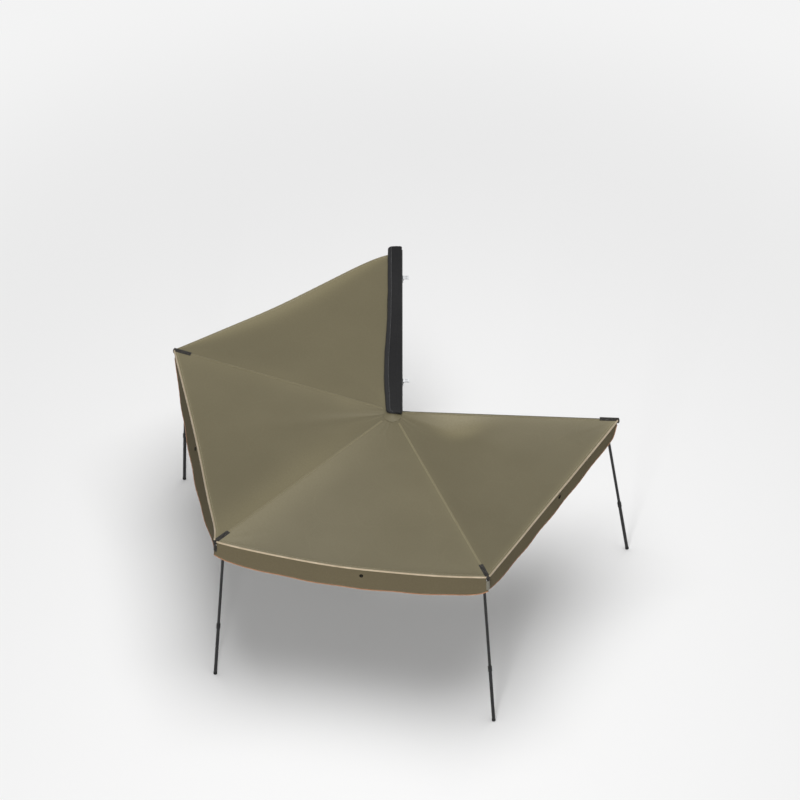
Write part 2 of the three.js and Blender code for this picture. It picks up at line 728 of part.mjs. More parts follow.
const valanceColumns = 25;
const notchShare = valanceNotch / (valanceDrop * (1 - cornerCutShare));
const valanceDownShares = [0, notchShare, 0.42, 0.7, 1];
const valanceRows = valanceDownShares.length;

// Valance: a strip sewn under a panel's outer edge. It is notched round the arm's tube and meets its
// neighbour under it in a sewn corner that is cut shorter. The free ends, at the first and the last arm,
// are rounded.
function makeValance(panel) {
  const place = (c, r) => {
    const share = c / (valanceColumns - 1);
    const chord = edgePoint(panel, 1).distanceTo(edgePoint(panel + 1, 1));
    const startsFree = panel === 1;
    const endsFree = panel === 3;
    const fromFree = (startsFree ? share : endsFree ? 1 - share : 1) * chord;
    const cut = Math.max(0, 1 - fromFree / valanceRounding);
    const sewn = (away) => cornerCutShare * Math.exp((-away * chord) / cornerCutReach);
    const corners = (startsFree ? 0 : sewn(share)) + (endsFree ? tailCutShare * share ** 2 : sewn(1 - share));
    const down = valanceDownShares[r] * (1 - (cut * cut) / 2 - corners);
    const below = valanceDownShares[r] > notchShare;
    const start = (below && !startsFree ? seatGap : valanceStart) / chord;
    const end = (below && !endsFree ? seatGap : valanceStart) / chord;
    const across = start + share * (1 - start - end);
    const top = panelPoint(panel, across, 1);
    const outward = new THREE.Vector3(top.x - pivot.x, top.y - pivot.y, 0).normalize();
    const wave = Math.sin(2 * Math.PI * valanceWaves * share) * valanceWave * down;
    top.addScaledVector(outward, valanceFlares[panel] * down + wave);
    top.z -= clothThick + 2 * seatGap + valanceDrop * down;
    return top;
  };
  const inside = (c, r) => {
    const p = place(c, r);
    return p.add(new THREE.Vector3(pivot.x - p.x, pivot.y - p.y, 0).setLength(clothThick));
  };
  add("valance_" + (panel + 1), closedSheet(valanceColumns, valanceRows, place, inside), canvas);
}

// Travel bag: an empty sleeve folded flat over the rail and the closed arms' place, with rounded ends
function makeBag() {
  const rear = pivot.y + bagRearShort;
  const length = railFrontY + bagFrontPast - rear;
  const right = railFrontX + bagLap;
  const low = Math.max(railHeight / 2, pinTop) + seatGap;
  const points = [];
  const faces = [];
  for (let s = 0; s < bagStations; s += 1) {
    const share = (1 - Math.cos((Math.PI * s) / (bagStations - 1))) / 2;
    const nearEnd = share < 1 - share ? 0 : 1;
    const toEnd = Math.min(1, (Math.min(share, 1 - share) * length) / bagEndRoundings[nearEnd]);
    const least = bagEndShares[nearEnd];
    const end = least + (1 - least) * Math.sqrt(1 - (1 - toEnd) ** 2);
    const swell = Math.exp(-(((share - bagSwellAtShare) / bagSwellShare) ** 2));
    const half = ((bagWidth + (bagSwollenWidth - bagWidth) * swell) / 2) * end;
    for (let a = 0; a < bagSides; a += 1) {
      const angle = (2 * Math.PI * a) / bagSides;
      const side = Math.sign(Math.cos(angle)) * Math.abs(Math.cos(angle)) ** bagSideShare;
      const lift = Math.max(0, Math.sin(angle)) ** bagTopShare;
      points.push(right - half + half * side, rear + length * share, low + bagThick * end * lift);
    }
  }
  const at = (s, a) => s * bagSides + (a % bagSides);
  for (let a = 0; a < bagSides; a += 1)
    for (let s = 0; s + 1 < bagStations; s += 1) {
      faces.push(at(s, a), at(s + 1, a), at(s + 1, a + 1));
      faces.push(at(s, a), at(s + 1, a + 1), at(s, a + 1));
    }
  for (let a = 1; a + 1 < bagSides; a += 1) {
    faces.push(at(0, 0), at(0, a), at(0, a + 1));
    faces.push(at(bagStations - 1, 0), at(bagStations - 1, a + 1), at(bagStations - 1, a));
  }
  const geometry = new THREE.BufferGeometry();
  geometry.setAttribute("position", new THREE.Float32BufferAttribute(points, 3));
  geometry.setIndex(faces);
  add("travel_bag", geometry, bagCloth);
}

makeRail();
makeBracket("bracket_rear", 0);
makeBracket("bracket_front", frontBracketY);
[0, frontBracketY].forEach((y, b) =>
  [-1, 1].forEach((side, s) => makeRailBolt("bracket_bolt_" + (2 * b + s + 1), y + (side * boltSpacing) / 2)),
);
makeYoke();
yokeBoltPlaces().forEach((y, b) => makeYokeBolt("yoke_bolt_" + (b + 1), y));
makePin();
armReaches.forEach((reach, i) => {
  const frame = armFrame(i);
  makeHingePlate(i, frame);
  makeArmTube(i, frame);
  makeLeg(i, legFrame(i, frame, makeLegBracket(i, frame)));
});
panelSags.forEach((sag, panel) => makePanel(panel));
panelSags.forEach((sag, panel) => panel && makeValance(panel));
makeBag();

export default root;
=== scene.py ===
import json
import math

import bmesh
import bpy
import numpy as np
from mathutils import Matrix, Vector
from mathutils.bvhtree import BVHTree


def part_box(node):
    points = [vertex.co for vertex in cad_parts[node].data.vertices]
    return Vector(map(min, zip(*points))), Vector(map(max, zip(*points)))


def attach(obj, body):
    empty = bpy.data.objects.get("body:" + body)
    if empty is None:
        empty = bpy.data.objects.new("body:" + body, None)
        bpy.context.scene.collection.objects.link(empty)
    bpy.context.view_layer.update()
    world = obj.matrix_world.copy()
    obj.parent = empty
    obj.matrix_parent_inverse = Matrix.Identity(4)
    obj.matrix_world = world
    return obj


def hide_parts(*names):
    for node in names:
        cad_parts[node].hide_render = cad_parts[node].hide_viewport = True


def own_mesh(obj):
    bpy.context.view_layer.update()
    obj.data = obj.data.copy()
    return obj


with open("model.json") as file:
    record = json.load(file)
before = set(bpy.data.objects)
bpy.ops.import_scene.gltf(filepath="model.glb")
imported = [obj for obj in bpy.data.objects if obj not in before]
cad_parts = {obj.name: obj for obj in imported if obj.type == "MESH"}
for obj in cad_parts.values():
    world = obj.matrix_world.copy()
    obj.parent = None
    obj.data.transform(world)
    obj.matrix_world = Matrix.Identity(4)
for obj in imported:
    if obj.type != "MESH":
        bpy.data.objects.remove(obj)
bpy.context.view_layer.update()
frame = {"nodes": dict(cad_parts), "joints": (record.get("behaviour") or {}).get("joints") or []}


# Studio: the open awning stands on a plain pale floor under broad soft light, seen from behind it at 44
# degrees down with a long lens. The floor and the surroundings are pale and keep the awning's soft shadow.
view_down = math.radians(44)
view_distance = 42.0
photo_pixels = 800
pixels_per_metre = 103
sensor_width = 36
aim = Vector((-0.058, -0.271, 0.0))
away = Vector((0, -math.cos(view_down), math.sin(view_down)))
floor_half = 60.0
pale_from = 3.8
pale_to = 9.0
white = (1, 1, 1, 1)
pale = (0.9, 0.9, 0.9, 1)


def stand(name, data):
    """A new object in the scene, at the origin."""
    made = bpy.data.objects.new(name, data)
    bpy.context.scene.collection.objects.link(made)
    return made


camera_data = bpy.data.cameras.new("camera")
camera_data.sensor_width = sensor_width
camera_data.lens = pixels_per_metre * view_distance * sensor_width / photo_pixels
camera_data.clip_end = 4 * view_distance
camera = stand("camera", camera_data)
camera.location = aim + view_distance * away
camera.rotation_euler = (math.pi / 2 - view_down, 0, 0)
bpy.context.scene.camera = camera
bpy.context.scene.view_settings.view_transform = "Standard"


def node(tree, kind, sockets=None, out=0, **settings):
    """Adds a node and gives one output of it, or all with out=None. Inputs are set to values or outputs."""
    made = tree.nodes.new(kind if "Node" in kind else "ShaderNode" + kind)
    for name, value in settings.items():
        setattr(made, name, value)
    for place, value in (sockets or {}).items():
        if isinstance(value, bpy.types.NodeSocket):
            tree.links.new(value, made.inputs[place])
        else:
            made.inputs[place].default_value = value
    return made.outputs if out is None or not made.outputs else made.outputs[out]


def maths(tree, operation, *values):
    return node(tree, "Math", dict(enumerate(values)), operation=operation)


def blank_tree(owner):
    """The emptied node tree of a material or a world."""
    owner.use_nodes = True
    owner.node_tree.nodes.clear()
    return owner.node_tree


def new_material(name):
    """A new material and its emptied node tree."""
    material = bpy.data.materials.new(name)
    return material, blank_tree(material)


def seen_directly(tree):
    """1 for camera, glossy and transmission rays, 0 for the light that falls on things."""
    path = node(tree, "LightPath", out=None)
    shiny = maths(tree, "MAXIMUM", path["Is Glossy Ray"], path["Is Transmission Ray"])
    return maths(tree, "MAXIMUM", path["Is Camera Ray"], shiny)


def make_surroundings():
    world = bpy.data.worlds.new("studio")
    bpy.context.scene.world = world
    tree = blank_tree(world)
    fill = node(tree, "Background", {"Color": white, "Strength": 0.20})
    shown = node(tree, "Background", {"Color": pale, "Strength": 1.0})
    mixed = node(tree, "MixShader", {0: seen_directly(tree), 1: fill, 2: shown})
    node(tree, "OutputWorld", {"Surface": mixed})


def make_floor():
    """A matt floor with a little glow of its own, which turns into the plain surroundings far out."""
    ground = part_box("foot_3")[0].z
    mesh = bpy.data.meshes.new("floor")
    corners = [(x * floor_half, y * floor_half, ground) for x, y in ((-1, -1), (1, -1), (1, 1), (-1, 1))]
    mesh.from_pydata(corners, [], [(0, 1, 2, 3)])
    material, tree = new_material("pale_floor")
    matt = node(tree, "BsdfDiffuse", {"Color": (0.84, 0.84, 0.84, 1)})
    glow = node(tree, "Emission", {"Color": white, "Strength": 0.05})
    nothing = node(tree, "Emission", {"Color": (0, 0, 0, 1), "Strength": 0.0})
    lift = node(tree, "MixShader", {0: seen_directly(tree), 1: nothing, 2: glow})
    near = node(tree, "AddShader", {0: matt, 1: lift})
    where = node(tree, "TexCoord", out="Object")
    distance = node(tree, "VectorMath", {0: where}, "Value", operation="LENGTH")
    span = {"Value": distance, "From Min": pale_from, "From Max": pale_to}
    far = node(tree, "MapRange", span, "Result", interpolation_type="SMOOTHSTEP")
    far_seen = maths(tree, "MULTIPLY", far, seen_directly(tree))
    plain = node(tree, "Emission", {"Color": pale, "Strength": 1.0})
    node(tree, "OutputMaterial", {"Surface": node(tree, "MixShader", {0: far_seen, 1: near, 2: plain})})
    mesh.materials.append(material)
    stand("floor", mesh)


def make_lamp(name, place, size, power):
    light = bpy.data.lights.new(name, "AREA")
    light.size = size
    light.energy = power
    lamp = stand(name, light)
    lamp.location = place
    lamp.rotation_euler = (aim - Vector(place)).to_track_quat("-Z", "Y").to_euler()
    return lamp


make_surroundings()
make_floor()
make_lamp("softbox", (0.5, 0.0, 15.0), 12.0, 2350)
front_light = make_lamp("front_light", (-3.0, -22.0, 1.5), 4.0, 4200)
front_light.visible_glossy = False


# Rail: one extruded aluminium profile, powder coated black, with a bolt slot in its back and a groove for
# the canopy's bead in its front. Its open front end is closed by a pressed-in plastic cap.
def node_group(name, inputs, kind="ShaderNodeTree"):
    """A node group and its inputs. Each input has a value of its own type, or a word for its type."""
    group = bpy.data.node_groups.new(name, kind)
    for label, value in inputs.items():
        word = value if isinstance(value, str) else type(value).__name__.capitalize()
        socket = group.interface.new_socket(label, in_out="INPUT", socket_type="NodeSocket" + word)
        if word != value:
            socket.default_value = value
    return group, node(group, "NodeGroupInput", out=None)


def put_out(group, word, **results):
    """Ends a node group: each result gets an output socket of one type."""
    for label in results:
        group.interface.new_socket(label, in_out="OUTPUT", socket_type="NodeSocket" + word)
    node(group, "NodeGroupOutput", results)
    return group


def use_group(tree, group, **sockets):
    return node(tree, "Group", sockets, None, node_tree=group)


def ramp(tree, value, low, high, out_low=0.0, out_high=1.0):
    """Maps a value from low..high to out_low..out_high and holds it there."""
    sockets = {"Value": value, "From Min": low, "From Max": high, "To Min": out_low, "To Max": out_high}
    return node(tree, "MapRange", sockets, "Result", clamp=True)


def mixed_colour(tree, share, first, second):
    """Mixes two colours, each an output or three values."""
    first, second = (c if isinstance(c, bpy.types.NodeSocket) else (*c, 1) for c in (first, second))
    return node(tree, "Mix", {"Factor": share, 6: first, 7: second}, 2, data_type="RGBA")


def noise(tree, place, scale, detail, roughness=0.5):
    sockets = {"Vector": place, "Scale": scale, "Detail": detail, "Roughness": roughness}
    return node(tree, "TexNoise", sockets, "Fac")


def relief(tree, strength, distance, height, **more):
    return node(tree, "Bump", {"Strength": strength, "Distance": distance, "Height": height, **more})


def make_edge_wear():
    """Mask of rubbed edges: where a bevelled normal leaves the true one, broken up by noise."""
    group, given = node_group("edge_wear", {"Radius": 0.001, "Patchiness": 30.0})
    soft = node(group, "Bevel", {"Radius": given["Radius"]}, samples=4)
    true = node(group, "NewGeometry", out="Normal")
    agree = node(group, "VectorMath", {0: soft, 1: true}, "Value", operation="DOT_PRODUCT")
    patches = noise(group, node(group, "TexCoord", out="Object"), given["Patchiness"], 5.0)
    broken = ramp(group, patches, 0.52, 0.66)
    return put_out(group, "Float", Mask=maths(group, "MULTIPLY", ramp(group, agree, 0.985, 0.86), broken))


def make_dust():
    """Mask of fine dust that settles on faces turned upwards."""
    group, given = node_group("settled_dust", {"Amount": 0.2, "Scale": 8.0})
    upward = node(group, "SeparateXYZ", {0: node(group, "NewGeometry", out="Normal")}, "Z")
    cloud = noise(group, node(group, "TexCoord", out="Object"), given["Scale"], 6.0)
    lying = maths(group, "MULTIPLY", ramp(group, upward, 0.3, 1.0), ramp(group, cloud, 0.4, 0.7))
    return put_out(group, "Float", Mask=maths(group, "MULTIPLY", lying, given["Amount"]))


def make_coat_grain():
    """Powder coat's orange peel as a height, and a slow drift in tone."""
    group, given = node_group("coat_grain", {"Peel": 600.0, "Drift": 5.0})
    where = node(group, "TexCoord", out="Object")
    peel, drift = noise(group, where, given["Peel"], 2.0), noise(group, where, given["Drift"], 4.0)
    return put_out(group, "Float", Height=peel, Tone=drift)


edge_wear = make_edge_wear()
settled_dust = make_dust()
coat_grain = make_coat_grain()
dust_colour = (0.20, 0.19, 0.17)
scuff_colour = (0.09, 0.09, 0.092)
bare_edge = (0.52, 0.52, 0.53)


def coat_masks(tree, peel, drift, wear_radius, patchiness, dust, dust_scale):
    """A coat's grain, the mask of its rubbed edges and the mask of the dust on it."""
    grain = use_group(tree, coat_grain, Peel=peel, Drift=drift)
    worn = use_group(tree, edge_wear, Radius=wear_radius, Patchiness=patchiness)["Mask"]
    return grain, worn, use_group(tree, settled_dust, Amount=dust, Scale=dust_scale)["Mask"]


def surfaced(material, looks):
    """Gives a material its surface, from what goes into the Principled shader."""
    tree = material.node_tree
    node(tree, "OutputMaterial", {"Surface": node(tree, "BsdfPrincipled", looks)})
    return material


def black_coat(name, dark, light, roughness, wear_radius):
    """Powder-coated metal: two near blacks, orange peel, dust on top and bare metal at rubbed edges."""
    material, tree = new_material(name)
    grain, rubbed, dusty = coat_masks(tree, 600.0, 4.0, wear_radius, 35.0, 0.25, 9.0)
    coat = mixed_colour(tree, ramp(tree, grain["Tone"], 0.35, 0.65), dark, light)
    looks = {
        "Base Color": mixed_colour(tree, rubbed, mixed_colour(tree, dusty, coat, dust_colour), bare_edge),
        "Metallic": rubbed,
        "Roughness": ramp(tree, grain["Tone"], 0.3, 0.7, roughness - 0.06, roughness + 0.08),
        "Specular IOR Level": 0.3,
        "Normal": relief(tree, 0.25, 0.0004, grain["Height"]),
    }
    return surfaced(material, looks)


def moulded_plastic(name, dark, light, roughness, gloss=0.25):
    """Black moulded plastic: a fine spark-eroded texture, paler where it is scuffed, dusty on top."""
    material, tree = new_material(name)
    grain, scuffed, dusty = coat_masks(tree, 1400.0, 12.0, 0.0012, 60.0, 0.3, 14.0)
    colour = mixed_colour(tree, ramp(tree, grain["Tone"], 0.35, 0.65), dark, light)
    colour = mixed_colour(tree, scuffed, colour, scuff_colour)
    looks = {
        "Base Color": mixed_colour(tree, dusty, colour, dust_colour),
        "Roughness": ramp(tree, grain["Tone"], 0.3, 0.7, roughness - 0.08, roughness + 0.08),
        "Specular IOR Level": gloss,
        "Normal": relief(tree, 0.35, 0.0003, grain["Height"]),
    }
    return surfaced(material, looks)


def dress(names, material):
    """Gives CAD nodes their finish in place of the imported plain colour."""
    for name in names:
        shown = frame["nodes"][name]
        shown.data.materials.clear()
        shown.data.materials.append(material)


rail_finish = black_coat("rail_coat", (0.018, 0.018, 0.019), (0.03, 0.03, 0.032), 0.42, 0.0009)
plastic_finish = moulded_plastic("black_plastic", (0.007, 0.007, 0.0075), (0.013, 0.013, 0.0135), 0.55)
dress(["base_rail"], rail_finish)
dress(["rail_end_cap"], plastic_finish)


# Mounting brackets: two lengths of extruded aluminium angle, left bare, slotted above for the rack and
# bolted through their upright leg to the rail with zinc-plated hexagon bolts.
bright_metal = (0.8, 0.8, 0.81)


def drawn_metal(name, dark, light, roughness, along, pitch):
    """Bare metal with the fine lines of drawing or turning, which run along one axis of the object."""
    material, tree = new_material(name)
    where = node(tree, "TexCoord", out="Object")
    stretch = tuple(2.0 if axis == along else pitch for axis in "xyz")
    lines = noise(tree, node(tree, "Mapping", {"Vector": where, "Scale": stretch}), 1.0, 4.0, 0.7)
    stained = ramp(tree, noise(tree, where, 25.0, 6.0), 0.35, 0.7)
    rubbed = use_group(tree, edge_wear, Radius=0.0008, Patchiness=80.0)["Mask"]
    looks = {
        "Base Color": mixed_colour(tree, rubbed, mixed_colour(tree, stained, light, dark), bright_metal),
        "Metallic": 1.0,
        "Roughness": ramp(tree, lines, 0.3, 0.7, roughness - 0.1, roughness + 0.1),
        "Normal": relief(tree, 0.2, 0.0002, lines),
    }
    return surfaced(material, looks)


aluminium_finish = drawn_metal("bare_aluminium", (0.55, 0.56, 0.57), (0.74, 0.75, 0.76), 0.38, "y", 900.0)
zinc_finish = drawn_metal("zinc_steel", (0.42, 0.43, 0.44), (0.62, 0.63, 0.65), 0.3, "z", 700.0)
arm_numbers = (1, 2, 3, 4)
dress(["bracket_rear", "bracket_front"], aluminium_finish)
dress([f"bracket_bolt_{n}" for n in arm_numbers], zinc_finish)


# Main hinge: a welded and black-coated yoke on the rail's rear end holds one upright steel pin. The four
# hinge plates turn on it at their own heights, with washers between them and a nut under the yoke.
yoke_finish = black_coat("yoke_coat", (0.016, 0.016, 0.017), (0.028, 0.028, 0.029), 0.4, 0.0012)
dress(["pivot_yoke"] + [f"hinge_plate_{n}" for n in arm_numbers], yoke_finish)
hardware = ["pivot_pin", "pivot_nut", "yoke_bolt_1", "yoke_bolt_2"]
dress(hardware + [f"pivot_washer_{n}" for n in (1, 2, 3)], zinc_finish)


# Arms: four lengths of 20 by 40 mm aluminium tube, coated black, each plugged at its tip with a rounded
# plastic cap and carrying a plastic saddle with two ears for its leg.
tube_half_width = 0.010
arm_finish = black_coat("arm_coat", (0.010, 0.010, 0.011), (0.018, 0.018, 0.019), 0.42, 0.001)
dress([f"arm_tube_{n}" for n in arm_numbers], arm_finish)
dress([f"arm_end_cap_{n}" for n in arm_numbers], plastic_finish)


# Legs: two telescopic aluminium tubes each, coated black, with a turning lock collar between them and a
# rubber foot. Each folds up along its arm on a steel pin through the saddle's ears.
leg_finish = black_coat("leg_coat", (0.006, 0.006, 0.0065), (0.012, 0.012, 0.0125), 0.42, 0.0008)
rubber_finish = moulded_plastic("foot_rubber", (0.009, 0.009, 0.009), (0.018, 0.018, 0.0175), 0.75)
for n in arm_numbers:
    dress([f"leg_bracket_{n}", f"lock_collar_{n}"], plastic_finish)
    dress([f"leg_pin_{n}"], zinc_finish)
    dress([f"leg_upper_{n}", f"leg_lower_{n}"], leg_finish)
    dress([f"foot_{n}"], rubber_finish)


# Canopy: four wedges of coated polyester canvas, sewn together along arms 1 to 3 and hemmed at the outer
# edge. The first is held in the rail's groove, and each is stretched between its arms and sags a little.
joints = {joint["name"]: joint for joint in frame["joints"]}
pivot = Vector(joints["arm_1_swing"]["pos_m"])
leg_inset = 0.130
rail_low, rail_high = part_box("base_rail")


def arm_frame(n):
    """Out along arm n, to its left, how far left of the pin it lies and how far its tip reaches."""
    fold = joints[f"leg_{n}_fold"]
    left = Vector(fold["axis"])
    out = Vector((left.y, -left.x, 0))
    pin = Vector(fold["pos_m"]) - pivot
    return out, left, pin.dot(left), pin.dot(out) + leg_inset


arms = {n: arm_frame(n) for n in arm_numbers}
cloth_height = 0.0214
cloth_thick = 0.0011
cloth_start = 0.062
cloth_inset = 0.012
rail_cloth_start = 0.232
rail_corner_inset = 0.040
seam_rest = 0.013
most_rest_share = 0.2
panel_sags = {1: 0.055, 2: 0.085, 3: 0.125, 4: 0.075}
panel_scallops = {1: 0.0, 2: 0.040, 3: 0.014, 4: 0.036}
panel_folds = {1: 0.003, 2: 0.007, 3: 0.0, 4: 0.004}
fold_shares = {1: 0.62, 2: 0.42, 3: 0.44, 4: 0.72}
fold_width_share = 0.08
ripple_height = 0.0012
ripple_start = 0.07
ripple_reach = 0.32
pleat_count = 5
pleat_depth = 0.0008
pleat_middle = 0.16
pleat_spread = 0.17
billow_depth = 0.004
front_bulge = 0.90
front_bulge_shares = (0.8, 5.0)
end_pull = 1.05
end_pull_power = 14
taut_hem = 0.045
taut_hem_width = 0.20
hem_width = 0.028
hem_rise = 0.0012
hem_step = 0.004
pucker_height = 0.0009
pucker_pitch = 0.031
pucker_reach = 0.05
cut_share = 0.995

# Where the cloth drops quickly beside an arm: beside the panel's second line or its first, how deep, over
# what width, and at what share out along the arm, with the spread of that share.
shoulders = {
    1: [],
    2: [(True, 0.012, 0.09, 0.20, 0.20)],
    3: [(False, 0.016, 0.24, 0.60, 0.42)],
    4: [(True, 0.085, 0.22, 0.27, 0.15), (True, 0.020, 0.20, 0.75, 0.30)],
}


def canopy_line(line, along):
    """Places at shares of line 0, in the rail's groove, or of arm 1 to 4's middle line."""
    if line == 0:
        first = Vector((rail_low.x - 0.0006, pivot.y + rail_cloth_start, cloth_height))
        last = Vector((first.x, rail_high.y - rail_corner_inset, cloth_height))
    else:
        out, left, offset, reach = arms[line]
        beside = pivot + left * offset + Vector((0, 0, cloth_height))
        first, last = beside + out * cloth_start, beside + out * (reach - cloth_inset)
    first, last = np.array(first), np.array(last)
    return first + (last - first) * along[..., None]


def tension_ripples(place, tip):
    """Fine folds that fan out from where an arm's tip pulls the cloth."""
    reach = place[..., :2] - tip[:2]
    distance = np.linalg.norm(reach, axis=-1)
    angle = np.arctan2(reach[..., 1], reach[..., 0])
    fade = np.exp(-distance / ripple_reach) * (1 - np.exp(-((distance / ripple_start) ** 2)))
    return ripple_height * fade * (np.cos(17 * angle + 0.6) + 0.5 * np.cos(29 * angle + 2.1))


def outward(places):
    """Level directions from the pin to each place, of length 1."""
    from_pin = places - np.array(pivot)
    from_pin[..., 2] = 0
    return from_pin / np.linalg.norm(from_pin, axis=-1)[..., None]


def canopy_surface(panel, across, along):
    """Top of panel 1 to 4 at shares across it, from its first line to its second, and outwards along it."""
    start, end = canopy_line(panel - 1, along), canopy_line(panel, along)
    chord = np.linalg.norm(end - start, axis=-1)
    rest = np.minimum(seam_rest / chord, most_rest_share)
    flat = np.clip((across - rest) / (1 - 2 * rest), 0, 1)
    hang = 4 * flat * (1 - flat)
    place = start + (end - start) * across[..., None]
    drawn_in = panel_scallops[panel] * hang * along**3
    if panel == 2:
        drawn_in += end_pull * flat**end_pull_power * (1 - flat) * along**3
    if panel == 1:
        rise, fall = front_bulge_shares
        drawn_in -= front_bulge * flat**rise * (1 - flat) ** fall * along**3
    place -= outward(place) * drawn_in[..., None]
    fold = np.exp(-(((flat - fold_shares[panel]) / fold_width_share) ** 2))
    down = panel_sags[panel] * hang * along**1.2
    down += panel_folds[panel] * fold * hang * np.sin(math.pi * np.sqrt(along))
    length = np.linalg.norm(place - np.array(pivot), axis=-1)
    for beside_second, depth, width, middle, spread in shoulders[panel]:
        near = 1 - flat if beside_second else flat
        drop = (1 - np.exp(-near * chord / width)) * (1 - near) ** 1.5
        down += depth * drop * np.exp(-(((along - middle) / spread) ** 2))
    if panel == 1:
        down -= taut_hem * hang * np.exp(-(1 - along) * arms[1][3] / taut_hem_width)
    near_pin = np.exp(-(((length - pleat_middle) / pleat_spread) ** 2))
    pleats = np.sin(2 * math.pi * pleat_count * flat + panel) * near_pin
    billow = np.sin(5.1 * place[..., 0] + 1.7 * panel) * np.sin(4.3 * place[..., 1] + 0.9 * panel)
    one = np.ones(1)
    pulled = sum(tension_ripples(place, canopy_line(line, one)[0]) for line in (panel - 1, panel))
    down -= hang * (pleat_depth * pleats + billow_depth * billow * along)
    down -= np.minimum(1, 4 * hang) * pulled
    place[..., 2] -= down
    return place


def grid_piece(name, places, plan, *materials):
    """A smooth sheet from a grid of places, columns by rows, with its flat cut in metres as UV map."""
    columns, rows = places.shape[:2]
    index = np.arange(columns * rows).reshape(columns, rows)
    quads = np.stack([index[:-1, :-1], index[:-1, 1:], index[1:, 1:], index[1:, :-1]], axis=-1)
    mesh = bpy.data.meshes.new(name)
    mesh.from_pydata(places.reshape(-1, 3).tolist(), [], quads.reshape(-1, 4).tolist())
    corners = np.empty(len(mesh.loops), int)
    mesh.loops.foreach_get("vertex_index", corners)
    layer = mesh.uv_layers.new(name="cut")
    layer.data.foreach_set("uv", plan.reshape(-1, 2)[corners].ravel())
    mesh.shade_smooth()
    for material in materials:
        mesh.materials.append(material)
    return stand(name, mesh)


def thicken(piece, thickness):
    solid = piece.modifiers.new("thickness", "SOLIDIFY")
    solid.thickness = thickness
    solid.offset = -1
    solid.use_even_offset = False
    return solid


def set_faded(piece, values):
    """How much painted light the cloth gets at each point, for its material: a paler colour painted in as a
    highlight.
    """
    piece.data.attributes.new("painted_light", "FLOAT", "POINT").data.foreach_set("value", values.ravel())


def make_weave():
    """Plain weave on a map in metres: rounded threads that pass over and under each other."""
    group, given = node_group("plain_weave", {"Vector": "Vector", "Threads": 900.0})
    turns = maths(group, "MULTIPLY", given["Threads"], math.pi)
    wide = node(group, "VectorMath", {0: given["Vector"], "Scale": turns}, operation="SCALE")
    parts = node(group, "SeparateXYZ", {0: wide}, None)
    crossing = maths(group, "MULTIPLY", maths(group, "SINE", parts["X"]), maths(group, "SINE", parts["Y"]))
    height = maths(group, "MULTIPLY_ADD", crossing, 0.5, 0.5)
    return put_out(group, "Float", Height=height, Tone=noise(group, given["Vector"], 55.0, 6.0, 0.65))


def make_creases():
    """Soft crumples that stay in cloth which has been packed: height and a mask of the sharp lines."""
    group, given = node_group("packing_creases", {"Vector": "Vector", "Scale": 3.0})
    place = {"Vector": given["Vector"], "Scale": 2.0, "Detail": 2.0}
    bent = node(group, "TexNoise", place, "Color", normalize=False)
    shift = {0: bent, 1: (0.12, 0.12, 0.0), 2: given["Vector"]}
    shifted = node(group, "VectorMath", shift, operation="MULTIPLY_ADD")
    cells = {"Vector": shifted, "Scale": given["Scale"]}
    apart = node(group, "TexVoronoi", cells, "Distance", feature="DISTANCE_TO_EDGE")
    return put_out(group, "Float", Height=ramp(group, apart, 0.0, 0.22), Lines=ramp(group, apart, 0.012, 0.0))


plain_weave = make_weave()
packing_creases = make_creases()


def tinted(colour, share):
    return tuple(share * value for value in colour)


def canvas(name, dark, light, roughness, gloss, sheen, crease_scale):
    """Woven canvas: thread relief, slubs, slow drift of tone, the creases left by packing, and painted light,
    a paler colour where the painted_light attribute asks for it.
    """
    material, tree = new_material(name)
    cut = node(tree, "UVMap", uv_map="cut")
    weave = use_group(tree, plain_weave, Vector=cut, Threads=900.0)
    creased = use_group(tree, packing_creases, Vector=cut, Scale=crease_scale)
    drift = noise(tree, cut, 1.3, 5.0, 0.55)
    colour = mixed_colour(tree, ramp(tree, drift, 0.3, 0.7), dark, light)
    painted_light = node(tree, "Attribute", out="Fac", attribute_name="painted_light")
    # Painted light: where the painted_light attribute is set, the cloth is turned towards a paler colour, a
    # painted highlight.
    for share, shade in (
        (ramp(tree, painted_light, 0.0, 1.0, 0.0, 0.9), tinted(light, 1.5)),
        (ramp(tree, weave["Tone"], 0.3, 0.75, 0.0, 0.35), tinted(dark, 0.8)),
        (ramp(tree, creased["Lines"], 0.0, 1.0, 0.0, 0.12), tinted(light, 1.3)),
    ):
        colour = mixed_colour(tree, share, colour, shade)
    threads = relief(tree, 0.3, 0.0002, weave["Height"])
    looks = {
        "Base Color": colour,
        "Roughness": ramp(tree, weave["Tone"], 0.3, 0.7, roughness - 0.06, roughness + 0.06),
        "Specular IOR Level": gloss,
        "Sheen Weight": sheen,
        "Sheen Roughness": 0.55,
        "Normal": relief(tree, 0.35, 0.0012, creased["Height"], Normal=threads),
    }
    return surfaced(material, looks)


canopy_cloth = canvas("canvas", (0.108, 0.092, 0.0475), (0.125, 0.107, 0.0575), 0.46, 0.28, 0.1, 2.6)
coated_underside = canvas("canvas_underside", (0.19, 0.185, 0.165), (0.23, 0.225, 0.20), 0.55, 0.5, 0.0, 2.6)


def gather(piece, n):
    """A piece goes with arm n: it is attached to the arm's body and given a mesh of its own."""
    out, left, offset, reach = arms[n]
    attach(piece, f"arm_{n}")
    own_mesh(piece)


def plan_of(places, n):
    """Places in metres along and beside arm n, as the cloth's flat map."""
    out, left, offset, reach = arms[n]
    from_pin = places - np.array(pivot)
    return np.stack([from_pin @ np.array(out), from_pin @ np.array(left)], axis=-1)


hem_share = 0.03
hem_lines = 26


def share_grid(columns, rows):
    """Shares across and along a wedge, closer together beside the arms and in the hem."""
    even = np.linspace(0, 1, columns)
    across = 0.45 * even + 0.55 * (1 - np.cos(math.pi * even)) / 2
    body = np.linspace(0, 1 - hem_share, rows - hem_lines, endpoint=False)
    along = np.concatenate([body, np.linspace(1 - hem_share, 1, hem_lines)])
    return np.meshgrid(across, along, indexing="ij")
